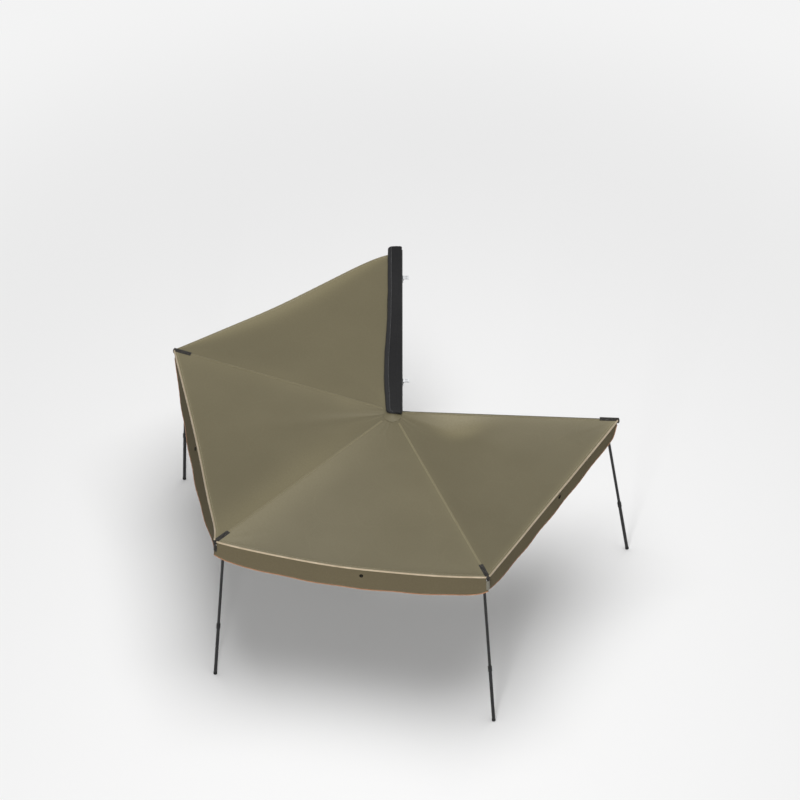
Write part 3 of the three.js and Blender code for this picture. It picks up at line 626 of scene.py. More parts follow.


# Painted light on the canopy, a paler colour that stands in for highlights: how much paler the cloth is
# painted beside each panel's first and second line, and how far that reaches; the same for its whole face,
# which paints each panel as lit a little differently, and for its outer hem, with the hem's least and added
# width; and the hollows beside a line that catch the most light, painted paler as highlights: the line,
# their middle and length along it, the least and the added depth, and the least and the added paleness.
line_highlights = {
    1: ((0.0, 0.09), (0.20, 0.12)),
    2: ((0.20, 0.12), (0.75, 0.26)),
    3: ((0.45, 0.22), (0.25, 0.05)),
    4: ((0.25, 0.05), (0.12, 0.08)),
}
panel_painted_light = {1: 0.18, 2: 0.09, 3: 0.03, 4: 0.0}
hem_highlights = {1: (1.0, 0.015, 0.15), 2: (0.8, 0.035, 0.0), 3: (0.8, 0.030, 0.010), 4: (0.8, 0.055, 0.0)}
lit_hollows = {
    1: (0, 0.0, 0.30, 0.0, 0.16, 0.0, 0.6),
    2: (1, 0.40, 0.22, 0.0, 0.10, 0.0, 0.25),
    4: (4, 0.57, 0.30, 0.08, 0.22, 0.18, 0.80),
}
lit_hollow_edge = 0.03
line_highlight_growth = 0.4


def fade(places, panel, across, from_hem):
    """How much painted light the cloth of a panel gets, from 0 to 1, at each place."""
    share, least, added = hem_highlights[panel]
    width = least + 4 * added * across * (1 - across)
    painted_light = panel_painted_light[panel] + share * np.exp(-((from_hem / width) ** 2))
    for line, (share, width) in zip((panel - 1, panel), line_highlights[panel]):
        first, last = canopy_line(line, np.array((0.0, 1.0)))[:, :2]
        length = np.linalg.norm(last - first)
        from_first = places[..., :2] - first
        along = np.clip(from_first @ (last - first) / length**2, 0, 1)
        apart = np.linalg.norm(from_first - along[..., None] * (last - first), axis=-1)
        growth = np.clip(along / line_highlight_growth, 0, 1)
        painted_light = painted_light + share * np.exp(-((apart / width) ** 2)) * growth
        if panel in lit_hollows and lit_hollows[panel][0] == line:
            _, middle, spread, least, depth, least_share, share = lit_hollows[panel]
            deep = np.exp(-(((along * length - middle) / spread) ** 2))
            inside = 1 / (1 + np.exp((apart - least - depth * deep) / lit_hollow_edge))
            painted_light = painted_light + (least_share + share * deep) * inside
    return np.clip(painted_light, 0, 1)


def cut_area(piece):
    """The area of a sheet's flat cut: cloth that is stretched into shape is cut half a percent smaller."""
    return cut_share * sum(face.area for face in piece.data.polygons)


panels = {}
for n in arm_numbers:
    across, along = share_grid(150, 150)
    surface = canopy_surface(n, across, along)
    from_edge = (1 - along) * (arms[n][3] - cloth_start)
    running = across * np.linalg.norm(surface[-1, -1] - surface[0, -1])
    hem = np.clip((hem_width - from_edge) / hem_step, 0, 1)
    pucker = np.sin(2 * math.pi * running / pucker_pitch + 2.2 * np.sin(3 * running))
    pucker = pucker * np.exp(-from_edge / pucker_reach)
    surface[..., 2] += hem_rise * hem + pucker_height * pucker * np.clip(8 * across * (1 - across), 0, 1)
    plan = plan_of(surface, n)
    panel = grid_piece(f"canopy_cloth_{n}", surface, plan, canopy_cloth, coated_underside)
    set_faded(panel, fade(surface, n, across, from_edge))
    width = float(np.linalg.norm(surface[-1, -1] - surface[0, -1]))
    flat = (width, arms[n][3] - cloth_inset)
    panels[n] = {"cloth": panel, "cut": flat, "area": cut_area(panel), "trim": []}
    thicken(panel, cloth_thick).material_offset = 1
    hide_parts(f"canopy_panel_{n}")
    gather(panel, n)


# Seams: neighbouring panels overlap in a flat seam over arms 1 to 3, bonded with a tape of the same cloth,
# and arm 4's edge is bound with it. Two rows of olive thread hold each tape, two paler ones each outer hem.
def tops_of(pieces):
    """The faces of some pieces, to lay other pieces on."""
    places, faces = [], []
    for piece in pieces:
        faces += [[len(places) + k for k in face.vertices] for face in piece.data.polygons]
        places += [vertex.co.copy() for vertex in piece.data.vertices]
    return BVHTree.FromPolygons(places, faces)


cloth_tops = tops_of([panels[n]["cloth"] for n in arm_numbers])


def on_cloth(n, along, beside, lift):
    """Places on the cloth, by distance out along arm n and to its left, and raised by lift."""
    out, left, offset, reach = arms[n]
    spots = np.array(pivot) + along[..., None] * np.array(out) + (offset + beside)[..., None] * np.array(left)
    spots[..., 2] = cloth_height
    for k in np.ndindex(along.shape):
        hit = cloth_tops.ray_cast(Vector((spots[k][0], spots[k][1], 0.2)), Vector((0, 0, -1)))[0]
        if hit:
            spots[k][2] = hit.z
    spots[..., 2] += lift
    return spots


def strip_piece(name, places, run, beside, material, thickness):
    """A thick strip of tape or webbing from places along it and beside its middle."""
    made = grid_piece(name, places[:, ::-1], np.stack([run, beside], -1)[:, ::-1], material)
    thicken(made, thickness)
    return made


def on_points(tree, points, instance, rotation, scale, material):
    """Ends a geometry tree: an instance on every point, made real, smooth and given its material."""
    places = {"Points": points, "Instance": instance, "Rotation": rotation, "Scale": scale}
    placed = node(tree, "GeometryNodeInstanceOnPoints", places)
    real = node(tree, "GeometryNodeRealizeInstances", {"Geometry": placed})
    smooth = node(tree, "GeometryNodeSetShadeSmooth", {"Geometry": real})
    dressed = node(tree, "GeometryNodeSetMaterial", {"Geometry": smooth, "Material": material})
    return put_out(tree, "Geometry", Geometry=dressed)


def make_stitch_tree():
    """Geometry nodes: a row of thread stitches at an even pitch along each path of edges."""
    inputs = {"Geometry": "Geometry", "Pitch": 0.012, "Length": 0.0085, "Thickness": 0.002}
    inputs.update({"Unevenness": 0.12, "Seed": 5, "Thread": "Material"})
    tree, given = node_group("stitch_rows", inputs, "GeometryNodeTree")
    path = node(tree, "GeometryNodeMeshToCurve", {"Mesh": given["Geometry"]})
    even = node(tree, "GeometryNodeResampleCurve", {"Curve": path, "Length": given["Pitch"]}, mode="LENGTH")
    tangent = node(tree, "GeometryNodeInputTangent")
    skew = node(tree, "FunctionNodeRandomValue", {"Seed": given["Seed"]}, data_type="FLOAT_VECTOR")
    uneven = {0: skew, 1: given["Unevenness"], 2: tangent}
    spread = node(tree, "VectorMath", uneven, operation="MULTIPLY_ADD")
    turned = node(tree, "FunctionNodeAlignRotationToVector", {"Vector": spread}, axis="X")
    half, thin = (maths(tree, "MULTIPLY", given[label], 0.5) for label in ("Length", "Thickness"))
    size = node(tree, "CombineXYZ", {"X": half, "Y": thin, "Z": thin})
    bead = node(tree, "GeometryNodeMeshUVSphere", {"Segments": 6, "Rings": 4, "Radius": 1.0})
    return on_points(tree, even, bead, turned, size, given["Thread"])


def grown(name, tree, mesh, settings):
    """A plain mesh piece made by a geometry node tree from a mesh of paths or points."""
    made = stand(name, mesh)
    maker = made.modifiers.new("maker", "NODES")
    maker.node_group = tree
    for item in tree.interface.items_tree:
        if item.item_type == "SOCKET" and item.in_out == "INPUT" and item.name in settings:
            maker[item.identifier] = settings[item.name]
    shown = made.evaluated_get(bpy.context.evaluated_depsgraph_get())
    made.data = bpy.data.meshes.new_from_object(shown)
    made.modifiers.clear()
    made.data.name = name
    return made


def path_mesh(name, paths):
    """A mesh of edges alone, one chain along each path."""
    places, edges = [], []
    for path in paths:
        edges += [(len(places) + k, len(places) + k + 1) for k in range(len(path) - 1)]
        places += path.tolist()
    mesh = bpy.data.meshes.new(name)
    mesh.from_pydata(places, edges, [])
    return mesh


def make_thread(name, dark, light):
    """Bonded polyester thread: a twist along each stitch and a little gloss."""
    material, tree = new_material(name)
    twist = {"Vector": node(tree, "TexCoord", out="Object"), "Scale": 400.0, "Distortion": 2.0}
    strands = node(tree, "TexWave", twist, "Fac", bands_direction="DIAGONAL")
    colour = mixed_colour(tree, strands, dark, light)
    looks = {"Base Color": colour, "Roughness": 0.45, "Sheen Weight": 0.3}
    return surfaced(material, looks)


def sew(name, rows, stitch, seed, thread):
    """Rows of thread stitches as one piece. stitch is their pitch, length and thickness."""
    settings = dict(zip(("Pitch", "Length", "Thickness"), stitch), Seed=seed, Thread=thread)
    made = grown(name, stitch_rows, path_mesh(name + "_rows", rows), settings)
    return made


stitch_rows = make_stitch_tree()
pale_thread = make_thread("pale_thread", (0.36, 0.33, 0.25), (0.50, 0.47, 0.37))
black_thread = make_thread("black_thread", (0.02, 0.02, 0.021), (0.045, 0.045, 0.047))
olive_thread = make_thread("olive_thread", (0.18, 0.16, 0.105), (0.24, 0.21, 0.145))
# The seam tape's canvas is set a little paler than the canopy's, and each arm's tape gets painted light from
# the table below: painted highlights for the pale lines along the seams.
seam_cloth = canvas("seam_tape", (0.120, 0.102, 0.054), (0.138, 0.119, 0.065), 0.5, 0.28, 0.1, 9.0)
tape_highlights = {1: 0.50, 2: 0.75, 3: 0.85, 4: 0.40}
tape_start = 0.12
tape_end_inset = 0.004
tape_lift = 0.0014
tape_row_lift = 0.0019
seam_width = 0.020
seam_row_inset = 0.003
hem_rows = (0.005, 0.024)
hem_row_lift = 0.0007
canvas_stitch = (0.012, 0.0085, 0.0016)
row_shares = np.linspace(0.012, 0.988, 400)
for n in arm_numbers:
    reach = arms[n][3]
    runs = np.linspace(tape_start, reach - cloth_inset - tape_end_inset, 320)
    along, beside = np.meshgrid(runs, np.linspace(-0.5, 0.5, 7) * seam_width, indexing="ij")
    if n == 4:
        beside = beside - seam_width / 2
    places = on_cloth(n, along, beside, tape_lift)
    tape = strip_piece(f"seam_tape_{n}", places, along, beside, seam_cloth, cloth_thick)
    set_faded(tape, np.full(along.size, tape_highlights[n]))
    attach(tape, f"arm_{n}")
    rows = [
        on_cloth(n, along[1:-1, column], beside[1:-1, column] + inset, tape_row_lift)
        for column, inset in ((0, seam_row_inset), (-1, -seam_row_inset))
    ]
    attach(sew(f"seam_stitches_{n}", rows, canvas_stitch, n, olive_thread), f"arm_{n}")
    rows = []
    for inset in hem_rows:
        share = 1 - inset / (reach - cloth_start)
        edge = canopy_surface(n, row_shares, np.full_like(row_shares, share))
        edge[:, 2] += hem_rise + hem_row_lift
        rows.append(edge)
    hem_stitches = sew(f"hem_stitches_{n}", rows, canvas_stitch, n, pale_thread)
    gather(hem_stitches, n)
    panels[n]["trim"].append(hem_stitches)


# Valances: three strips of the same canvas sewn under the outer edges of the second to fourth panels.
# Each hangs 0.25 m with a slight flare; they meet in a sewn corner under arms 2 and 3.
valance_start = 0.017
valance_drop = 0.250
valance_flares = {2: 0.072, 3: 0.018, 4: -0.006}
flare_half_turns = 0.93
free_end_reach = 0.30
free_end_cut = 0.60
valance_notch = 0.046
valance_rounding = 0.070
sewn_gap = 0.0006
valance_wave = 0.004
valance_waves = 5
gather_height = 0.0006
gather_pitch = 0.083
notch_step = 0.012
rounding_cut = 0.5
valance_allowance = 1.02
valance_light_fall = 0.3
corner_cut = 0.32
corner_cut_reaches = (0.060, 0.40)
tail_cut = 0.28
valance_painted_light = {2: 0.80, 3: 0.62, 4: 1.30}
valance_numbers = (2, 3, 4)
valance_row_inset = 0.012
valance_row_lift = 0.0006


def corner_rise(distance):
    """The share of its drop that a valance loses near a sewn corner: half at once and half slowly."""
    return corner_cut * sum(np.exp(-distance / reach) for reach in corner_cut_reaches) / 2


def valance_surface(n, share, down):
    """Outside of valance n at shares along the outer edge and down from it."""
    ends = canopy_line(n - 1, np.ones(1))[0], canopy_line(n, np.ones(1))[0]
    chord = float(np.linalg.norm(ends[1] - ends[0]))
    from_free = share if n == 2 else 1 - share if n == 4 else np.ones_like(share)
    cut = np.clip(1 - from_free * chord / (free_end_reach if n == 2 else valance_rounding), 0, 1)
    corners = tail_cut * share**2 if n == 4 else corner_rise((1 - share) * chord)
    if n > 2:
        corners = corners + corner_rise(share * chord)
    fall = down * (1 - cut**2 * (free_end_cut if n == 2 else rounding_cut) - corners)
    under = np.clip((down * (1 - corner_cut) * valance_drop - valance_notch) / notch_step, 0, 1)
    meeting = valance_start + (sewn_gap - valance_start) * under
    start = (valance_start if n == 2 else meeting) / chord
    end = (valance_start if n == 4 else meeting) / chord
    across = start + share * (1 - start - end)
    top = canopy_surface(n, across, np.ones_like(across))
    along = share * chord
    wave = valance_wave * np.sin(2 * math.pi * valance_waves * share + n) * fall
    gathers = np.sin(2 * math.pi * along / gather_pitch + 3 * np.sin(2.3 * along + n)) * np.sqrt(fall)
    flare = valance_flares[n] * (np.sin(math.pi * flare_half_turns * share) if n == 2 else 1.0)
    top += outward(top) * (flare * fall + wave + gather_height * gathers)[..., None]
    top[..., 2] -= cloth_thick + sewn_gap + valance_drop * fall
    return top, np.stack([along, valance_drop * fall], axis=-1)


# The valances' canvas is the canopy's painted darker, painted shade, and each valance then gets its own
# painted light, falling off along it: each is painted lighter or darker for the side it faces.
valance_cloth = canvas("canvas_valance", (0.069, 0.057, 0.035), (0.080, 0.067, 0.041), 0.85, 0.04, 0.0, 4.0)
for n in valance_numbers:
    share, down = np.meshgrid(np.linspace(0, 1, 200), np.linspace(0, 1, 32), indexing="ij")
    surface, plan = (grid[:, ::-1] for grid in valance_surface(n, share, down))
    strip = grid_piece(f"valance_cloth_{n}", surface, plan, valance_cloth)
    set_faded(strip, valance_painted_light[n] * (1 - valance_light_fall * share))
    flat = (float(plan[-1, 0, 0]), valance_drop * valance_allowance)
    strip_area = min(cut_area(strip), flat[0] * flat[1])
    thicken(strip, cloth_thick)
    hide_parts(f"valance_{n}")
    gather(strip, n)
    rows = []
    for below in (valance_row_inset, valance_drop - valance_row_inset):
        row, _ = valance_surface(n, row_shares, np.full_like(row_shares, below / valance_drop))
        rows.append(row + valance_row_lift * outward(row))
    stitches = sew(f"valance_stitches_{n}", rows, canvas_stitch, 10 + n, pale_thread)
    gather(stitches, n)
    panels[n].update(valance=strip, strip=flat, strip_area=strip_area, strip_trim=[stitches])


# Piping: a cord folded into pale tan tape and sewn in between canopy and valance, and the same tape in
# orange tan bound round each valance's lower edge.
point_gap = 0.00005


def weld(piece, distance=point_gap, hole_sides=0):
    """Joins points that meet, and closes holes of up to so many sides."""
    whole = bmesh.new()
    whole.from_mesh(piece.data)
    bmesh.ops.remove_doubles(whole, verts=whole.verts, dist=distance)
    if hole_sides:
        bmesh.ops.holes_fill(whole, edges=whole.edges, sides=hole_sides)
        bmesh.ops.recalc_face_normals(whole, faces=whole.faces)
    whole.to_mesh(piece.data)
    whole.free()
    piece.data.shade_smooth()


def tube_piece(name, path, radius, sides, material):
    """A round tube along a path of places, with a map of its length and its turn in metres."""
    ahead = np.gradient(path, axis=0)
    ahead /= np.linalg.norm(ahead, axis=-1)[..., None]
    side = np.cross(ahead, np.array([0.0, 0.0, 1.0]))
    side /= np.linalg.norm(side, axis=-1)[..., None]
    rise = np.cross(side, ahead)
    turn = np.linspace(0, 2 * math.pi, sides + 1)
    ring = np.cos(turn)[None, :, None] * side[:, None] + np.sin(turn)[None, :, None] * rise[:, None]
    places = path[:, None] + radius * ring
    run = np.concatenate([[0], np.cumsum(np.linalg.norm(np.diff(path, axis=0), axis=-1))])
    plan = np.stack(np.meshgrid(run, turn * radius, indexing="ij"), axis=-1)
    made = grid_piece(name, places[:, ::-1], plan[:, ::-1], material)
    weld(made, radius / 50, sides + 1)
    return made


def woven_tape(name, dark, light):
    """Folded binding tape: a ribbed weave across it, slightly uneven dye, and its colour darker between the
    ribs.
    """
    material, tree = new_material(name)
    cut = node(tree, "UVMap", uv_map="cut")
    ribs = use_group(tree, plain_weave, Vector=cut, Threads=500.0)["Height"]
    colour = mixed_colour(tree, ramp(tree, noise(tree, cut, 9.0, 5.0), 0.3, 0.7), dark, light)
    looks = {
        "Base Color": mixed_colour(tree, ramp(tree, ribs, 0.6, 0.1, 0.0, 0.3), colour, dark),
        "Roughness": 0.7,
        "Sheen Weight": 0.2,
        "Normal": relief(tree, 0.4, 0.0004, ribs),
    }
    return surfaced(material, looks)


pale_tape = woven_tape("pale_tape", (0.29, 0.23, 0.15), (0.40, 0.33, 0.235))
orange_tape = woven_tape("orange_tape", (0.26, 0.125, 0.062), (0.36, 0.18, 0.09))
piping_radius = 0.0085
piping_out = 0.6
piping_up = 0.2
low_edge_radius = 0.0055
cord_sides = 10
for n in valance_numbers:
    ends = valance_start / panels[n]["strip"][0]
    across = np.linspace(ends, 1 - ends, 240)
    top_edge = canopy_surface(n, across, np.ones_like(across))
    top_edge += outward(top_edge) * piping_out * piping_radius
    top_edge[..., 2] += piping_up * piping_radius
    share = np.linspace(0.0, 1.0, 300)
    low_edge, _ = valance_surface(n, share, np.ones_like(share))
    for kind, path, radius, tape in (
        ("top", top_edge, piping_radius, pale_tape),
        ("low", low_edge, low_edge_radius, orange_tape),
    ):
        piping = tube_piece(f"piping_{kind}_{n}", path, radius, cord_sides, tape)
        gather(piping, n)
        panels[n]["trim" if kind == "top" else "strip_trim"].append(piping)


# Eyelets: one black rubber ring pressed through each valance near its middle, for a guy line's hook.
def lathe_piece(name, profile, sides, place, facing):
    """A turned ring: the profile's (radius, height) points go once round facing."""
    turn = Vector((0, 0, 1)).rotation_difference(facing).to_matrix().to_4x4()
    stance = Matrix.Translation(place) @ turn
    shell = bmesh.new()
    rings = []
    for k in range(sides):
        angle = 2 * math.pi * k / sides
        spots = [Vector((r * math.cos(angle), r * math.sin(angle), h)) for r, h in profile]
        rings.append([shell.verts.new(stance @ spot) for spot in spots])
    count = len(profile)
    for k in range(sides):
        here, after = rings[k], rings[(k + 1) % sides]
        for p in range(count):
            q = (p + 1) % count
            shell.faces.new((here[p], here[q], after[q], after[p]))
    bmesh.ops.recalc_face_normals(shell, faces=shell.faces)
    mesh = bpy.data.meshes.new(name)
    shell.to_mesh(mesh)
    shell.free()
    mesh.shade_smooth()
    return stand(name, mesh)


eyelet_shares = {2: 0.468, 3: 0.537, 4: 0.572}
eyelet_below = 0.078
eyelet_outer = 0.0185
eyelet_inner = 0.0045
eyelet_thick = 0.0055
eyelet_sides = 32
eyelet_finish = moulded_plastic("eyelet_rubber", (0.005, 0.0045, 0.0035), (0.010, 0.009, 0.007), 0.85, 0.03)
lip_middle, lip_half = (eyelet_outer + eyelet_inner) / 2, (eyelet_outer - eyelet_inner) / 2
lip = [
    (lip_middle + lip_half * math.cos(angle), 0.6 * eyelet_thick + eyelet_thick * math.sin(angle))
    for angle in np.linspace(0, 2 * math.pi, 14, endpoint=False)
]
for n in valance_numbers:
    spot = np.array([eyelet_shares[n]])
    middle, beside, below = (
        valance_surface(n, spot + step, spot * depth * eyelet_below / valance_drop)[0][0]
        for step, depth in ((0, 2), (0.01, 2), (0, 2.2))
    )
    facing = Vector(np.cross(below - middle, beside - middle)).normalized()
    if facing.dot(Vector(middle) - pivot) < 0:
        facing.negate()
    ring = lathe_piece(f"valance_eyelet_{n}", lip, eyelet_sides, Vector(middle), facing)
    ring.data.materials.append(eyelet_finish)
    gather(ring, n)
    panels[n]["strip_trim"].append(ring)


# Corner webbing: a strap of black polyester webbing is sewn over each arm's tip and down round its cap. At
# arm 2 it runs on down the valances' sewn corner, and at arm 3 a pale patch covers that corner.
strap_width = 0.044
strap_thick = 0.0022
strap_length = 0.190
strap_rounding = 0.010
strap_proud = 0.003
strap_clear_depth = 0.042
strap_clear_step = 0.02
corner_lean = 0.6
corner_rounding = 0.006
strap_drops = {1: 0.034, 2: 0.125, 3: 0.034, 4: 0.034}
patch_width = 0.036
patch_run = (0.225, 0.345)
patch_proud = 0.0012
patch_thick = 0.0014


def corner_out(n, depth):
    """How far out along arm n the cloth's corner stands, at depths below the cloth."""
    out, left, offset, reach = arms[n]
    if n not in (2, 3):
        return np.full_like(depth, reach - cloth_inset)
    share = np.clip(depth / (valance_drop * (1 - corner_cut)), 0, 1)
    corner, _ = valance_surface(n, np.ones_like(depth), share)
    return (corner - np.array(pivot)) @ np.array(out)


def strap_surface(n, run, beside, lift):
    """The strap over arm n's tip, by distance along it from its inner end and beside its middle."""
    out, left, offset, reach = arms[n]
    flat_run = strap_length - strap_rounding + strap_proud
    turned = np.clip((run - flat_run) / strap_rounding, 0, math.pi / 2)
    fallen = np.maximum(run - flat_run - strap_rounding * math.pi / 2, 0)
    fallen = fallen + strap_rounding * (1 - np.cos(turned))
    along = reach - strap_length + np.minimum(run, flat_run) + strap_rounding * np.sin(turned)
    low = np.clip((fallen - strap_clear_depth) / strap_clear_step, 0, 1)
    bend = (turned / (math.pi / 2)) ** 2 * (1 - low)
    radius = tube_half_width + strap_proud
    wrap = np.minimum(np.abs(beside) / radius, math.pi / 2)
    back = radius * (1 - np.cos(wrap)) + np.maximum(np.abs(beside) - radius * math.pi / 2, 0)
    back_beside = corner_lean * (np.hypot(beside, corner_rounding) - corner_rounding)
    on_corner = corner_out(n, fallen) + strap_proud - back_beside
    place_along = (along - bend * back) * (1 - low) + on_corner * low
    place_beside = beside + bend * (np.sign(beside) * radius * np.sin(wrap) - beside)
    on_top = np.minimum(place_along, reach - cloth_inset)
    places = on_cloth(n, on_top, place_beside, lift)
    places += (place_along - on_top)[..., None] * np.array(out)
    places[..., 2] -= fallen
    return places


def webbing(name, dark, light, ribs):
    """Flat woven webbing: coarse herringbone ribs along it, a tone that varies with the weave, and dust on
    its faces turned upwards.
    """
    material, tree = new_material(name)
    cut = node(tree, "UVMap", uv_map="cut")
    wave = {"Vector": cut, "Scale": ribs, "Distortion": 1.5, "Detail": 2.0, "Detail Scale": 3.0}
    ribbed = node(tree, "TexWave", wave, "Fac", bands_direction="Y")
    tone = use_group(tree, plain_weave, Vector=cut, Threads=600.0)["Tone"]
    dusty = use_group(tree, settled_dust, Amount=0.12, Scale=30.0)["Mask"]
    colour = mixed_colour(tree, ramp(tree, tone, 0.3, 0.7), dark, light)
    looks = {
        "Base Color": mixed_colour(tree, dusty, colour, (0.2, 0.19, 0.16)),
        "Roughness": 0.75,
        "Specular IOR Level": 0.25,
        "Sheen Weight": 0.05,
        "Normal": relief(tree, 0.6, 0.0006, ribbed),
    }
    return surfaced(material, looks)


black_webbing = webbing("black_webbing", (0.0095, 0.0078, 0.0065), (0.0165, 0.0138, 0.0118), 140.0)
pale_webbing = webbing("pale_patch", (0.115, 0.108, 0.085), (0.15, 0.142, 0.115), 220.0)
strap_stitch = (0.006, 0.0045, 0.0014)
strap_lift = 0.0026
strap_row_lift = 0.003
strap_row_inset = 0.004
cross_rows = (0.004, 0.062, 0.118)
crossed_boxes = ((0.006, 0.06), (0.064, 0.116))
crossed_width = strap_width - 0.010
for n in arm_numbers:
    run_end = strap_length + strap_drops[n]
    bend = strap_length - 0.02
    runs = np.concatenate([np.linspace(0, bend, 50, endpoint=False), np.linspace(bend, run_end, 60)])
    run, beside = np.meshgrid(runs, np.linspace(-0.5, 0.5, 21) * strap_width, indexing="ij")
    places = strap_surface(n, run, beside, strap_lift)
    strap = strip_piece(f"corner_strap_{n}", places, run, beside, black_webbing, strap_thick)
    gather(strap, n)
    row_width = strap_width - 2 * strap_row_inset
    line = np.linspace(strap_row_inset, run_end - strap_row_inset, 160)
    paths = [(line, np.full_like(line, side * row_width)) for side in (-0.5, 0.5)]
    line = np.linspace(-0.5, 0.5, 24) * row_width
    paths += [(np.full_like(line, spot), line) for spot in cross_rows]
    line = np.linspace(-0.5, 0.5, 40)
    for first, last in crossed_boxes:
        inside = first + (line + 0.5) * (last - first)
        paths += [(inside, lean * line * crossed_width) for lean in (-1, 1)]
    rows = [strap_surface(n, run, beside, strap_row_lift) for run, beside in paths]
    stitches = sew(f"strap_stitches_{n}", rows, strap_stitch, 20 + n, black_thread)
    gather(stitches, n)

runs, sides = np.linspace(*patch_run, 50), np.linspace(-0.5, 0.5, 15) * patch_width
run, beside = np.meshgrid(runs, sides, indexing="ij")
places = strap_surface(3, run, beside, 0.0) + patch_proud * np.array(arms[3][0])
patch = strip_piece("corner_patch_3", places, run, beside, pale_webbing, patch_thick)
gather(patch, 3)


# Hinge cover: a round of the canopy's canvas with a hemmed edge, laid over the main pin's head and the yoke
# and sewn to the rail's bead, so that rain doesn't run in where the panels come together.
cover_radius = 0.088
cover_rise = 0.0012
cover_least_height = 0.0215
cover_row_lift = 0.0007
cover_stitch = (0.008, 0.006, 0.0012)
covered = ["pivot_pin", "pivot_yoke"]
covered += [f"{kind}_{n}" for kind in ("hinge_plate", "arm_tube") for n in arm_numbers]
cloths = [panels[n]["cloth"] for n in arm_numbers]
hinge_tops = tops_of([frame["nodes"][name] for name in covered] + cloths)


def cover_heights(radii, angles):
    """Height of a cloth stretched over the hinge, ring by ring and ray by ray from the pin."""
    height = np.empty((len(radii), len(angles)))
    for i, radius in enumerate(radii):
        for k, angle in enumerate(angles):
            above = pivot + Vector((radius * math.cos(angle), radius * math.sin(angle), 0.2))
            hit = hinge_tops.ray_cast(above, Vector((0, 0, -1)))[0]
            height[i, k] = hit.z if hit else 0.0
    height = np.maximum(height, cover_least_height)
    for k in range(len(angles)):
        ray = height[:, k].copy()
        for i in range(1, len(radii) - 1):
            for a in range(i):
                for b in range(i + 1, len(radii)):
                    slope = (ray[b] - ray[a]) * (radii[i] - radii[a]) / (radii[b] - radii[a])
                    height[i, k] = max(height[i, k], ray[a] + slope)
    for _ in range(6):
        around = np.roll(height, 1, axis=1) + height + np.roll(height, -1, axis=1)
        height = np.maximum(height, around / 3)
    return height


cover_radii = np.linspace(0.0, 1.0, 22) * cover_radius
cover_angles = np.linspace(0, 2 * math.pi, 97)
heights = cover_heights(cover_radii, cover_angles[:-1])
heights = np.concatenate([heights, heights[:, :1]], axis=1) + cover_rise
radius, angle = np.meshgrid(cover_radii, cover_angles, indexing="ij")
disc = np.stack([radius * np.cos(angle), radius * np.sin(angle)], -1)
places = np.array(pivot) + np.concatenate([disc, (heights - pivot.z)[..., None]], -1)
cover = grid_piece("hinge_cover", places, disc, canopy_cloth)
weld(cover)
thicken(cover, cloth_thick)
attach(cover, "root")
ring = places[-2] + np.array((0, 0, cover_row_lift))
cover_stitches = sew("cover_stitches", [ring], cover_stitch, 3, olive_thread)
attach(cover_stitches, "root")


# Travel bag: an empty sleeve of black coated cloth that slides over the rail's back edge. It lies folded
# flat on the rail while the awning is open, its long edges turned over, its slack taken up in soft folds.
bag_low, bag_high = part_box("travel_bag")
bag_thick = bag_high.z - bag_low.z
bag_straight_width = 0.138
bag_swollen_width = 0.172
bag_swell_at_share = 0.25
bag_swell_share = 0.24
bag_end_roundings = (0.050, 0.026)
bag_end_shares = (0.55, 0.84)
bag_side_share = 0.7
bag_fullness = 0.82
bag_edge_wave = 0.0025
bag_most_wave = 0.004
bag_under_sag = 0.0008
bag_top_share = 0.6
bag_waves = ((0.62, 1.0, 1.0), (0.37, -1.7, 0.8), (0.19, 2.3, 0.45), (0.11, -3.1, 0.25))

# The soft folds across the bag: where along it each lies, how it leans and how deep it is.
bag_dents = (
    (0.08, 0.5, 0.10),
    (0.21, -0.7, 0.14),
    (0.33, 0.4, 0.10),
    (0.52, -0.5, 0.12),
    (0.68, 0.8, 0.10),
    (0.83, -0.4, 0.12),
    (0.93, 0.3, 0.08),
)


def bag_noise(y, turn, seed):
    """Slow uneven waves along the bag that differ round its section."""
    waves = np.zeros_like(y)
    for k, (pitch, lean, size) in enumerate(bag_waves):
        waves += size * np.sin(2 * math.pi * y / pitch + lean * turn + seed * (k + 1.3))
    return waves / 2.5


def bag_side(turn):
    """How far to the right the bag's squarish section reaches at a turn round it, from -1 to 1."""
    return np.sign(np.cos(turn)) * np.abs(np.cos(turn)) ** bag_side_share


def bag_surface(share, turn):
    """The bag's outside, by share of its length from the rear and by the turn round its section."""
    length = bag_high.y - bag_low.y
    y = bag_low.y + length * share
    rounding = np.where(share < 0.5, *bag_end_roundings)
    least = np.where(share < 0.5, *bag_end_shares)
    to_end = np.minimum(1, np.minimum(share, 1 - share) * length / rounding)
    end = least + (1 - least) * np.sqrt(1 - (1 - to_end) ** 2)
    swell = np.exp(-(((share - bag_swell_at_share) / bag_swell_share) ** 2))
    half = (bag_straight_width + (bag_swollen_width - bag_straight_width) * swell) / 2 * end
    side = bag_side(turn)
    lift = np.sign(np.sin(turn)) * np.abs(np.sin(turn)) ** bag_top_share
    x = bag_high.x - half + half * side
    top = np.clip(lift, 0, 1)
    body = bag_fullness + 0.10 * bag_noise(y, turn, 2.0) + 0.06 * side * (1 - swell)
    crease = np.exp(-(((side + 0.35 + 0.12 * np.sin(5.0 * y)) / 0.09) ** 2))
    crease = crease * np.exp(-(((share - 0.55) / 0.4) ** 2))
    fold = np.exp(-(((side - 0.45 + 0.08 * np.sin(3.1 * y + 1)) / 0.07) ** 2))
    dent = np.zeros_like(y)
    for at, slope, depth in bag_dents:
        apart = (share - at) * length - slope * half * side
        dent += depth * np.exp(-((apart / 0.035) ** 2)) * (0.5 - 0.5 * side)
    body -= 0.10 * crease + 0.07 * fold + dent
    z = bag_low.z + 0.001 + bag_thick * end * np.clip(top * body, 0, 1)
    sag = np.clip(-lift, 0, 1) * bag_under_sag
    edge_wave = bag_edge_wave * bag_noise(y, 0 * turn, 5.0) * np.clip(-side, 0, 1) ** 3 * end
    return np.stack([x + np.minimum(edge_wave, bag_most_wave), y, z - sag], axis=-1)


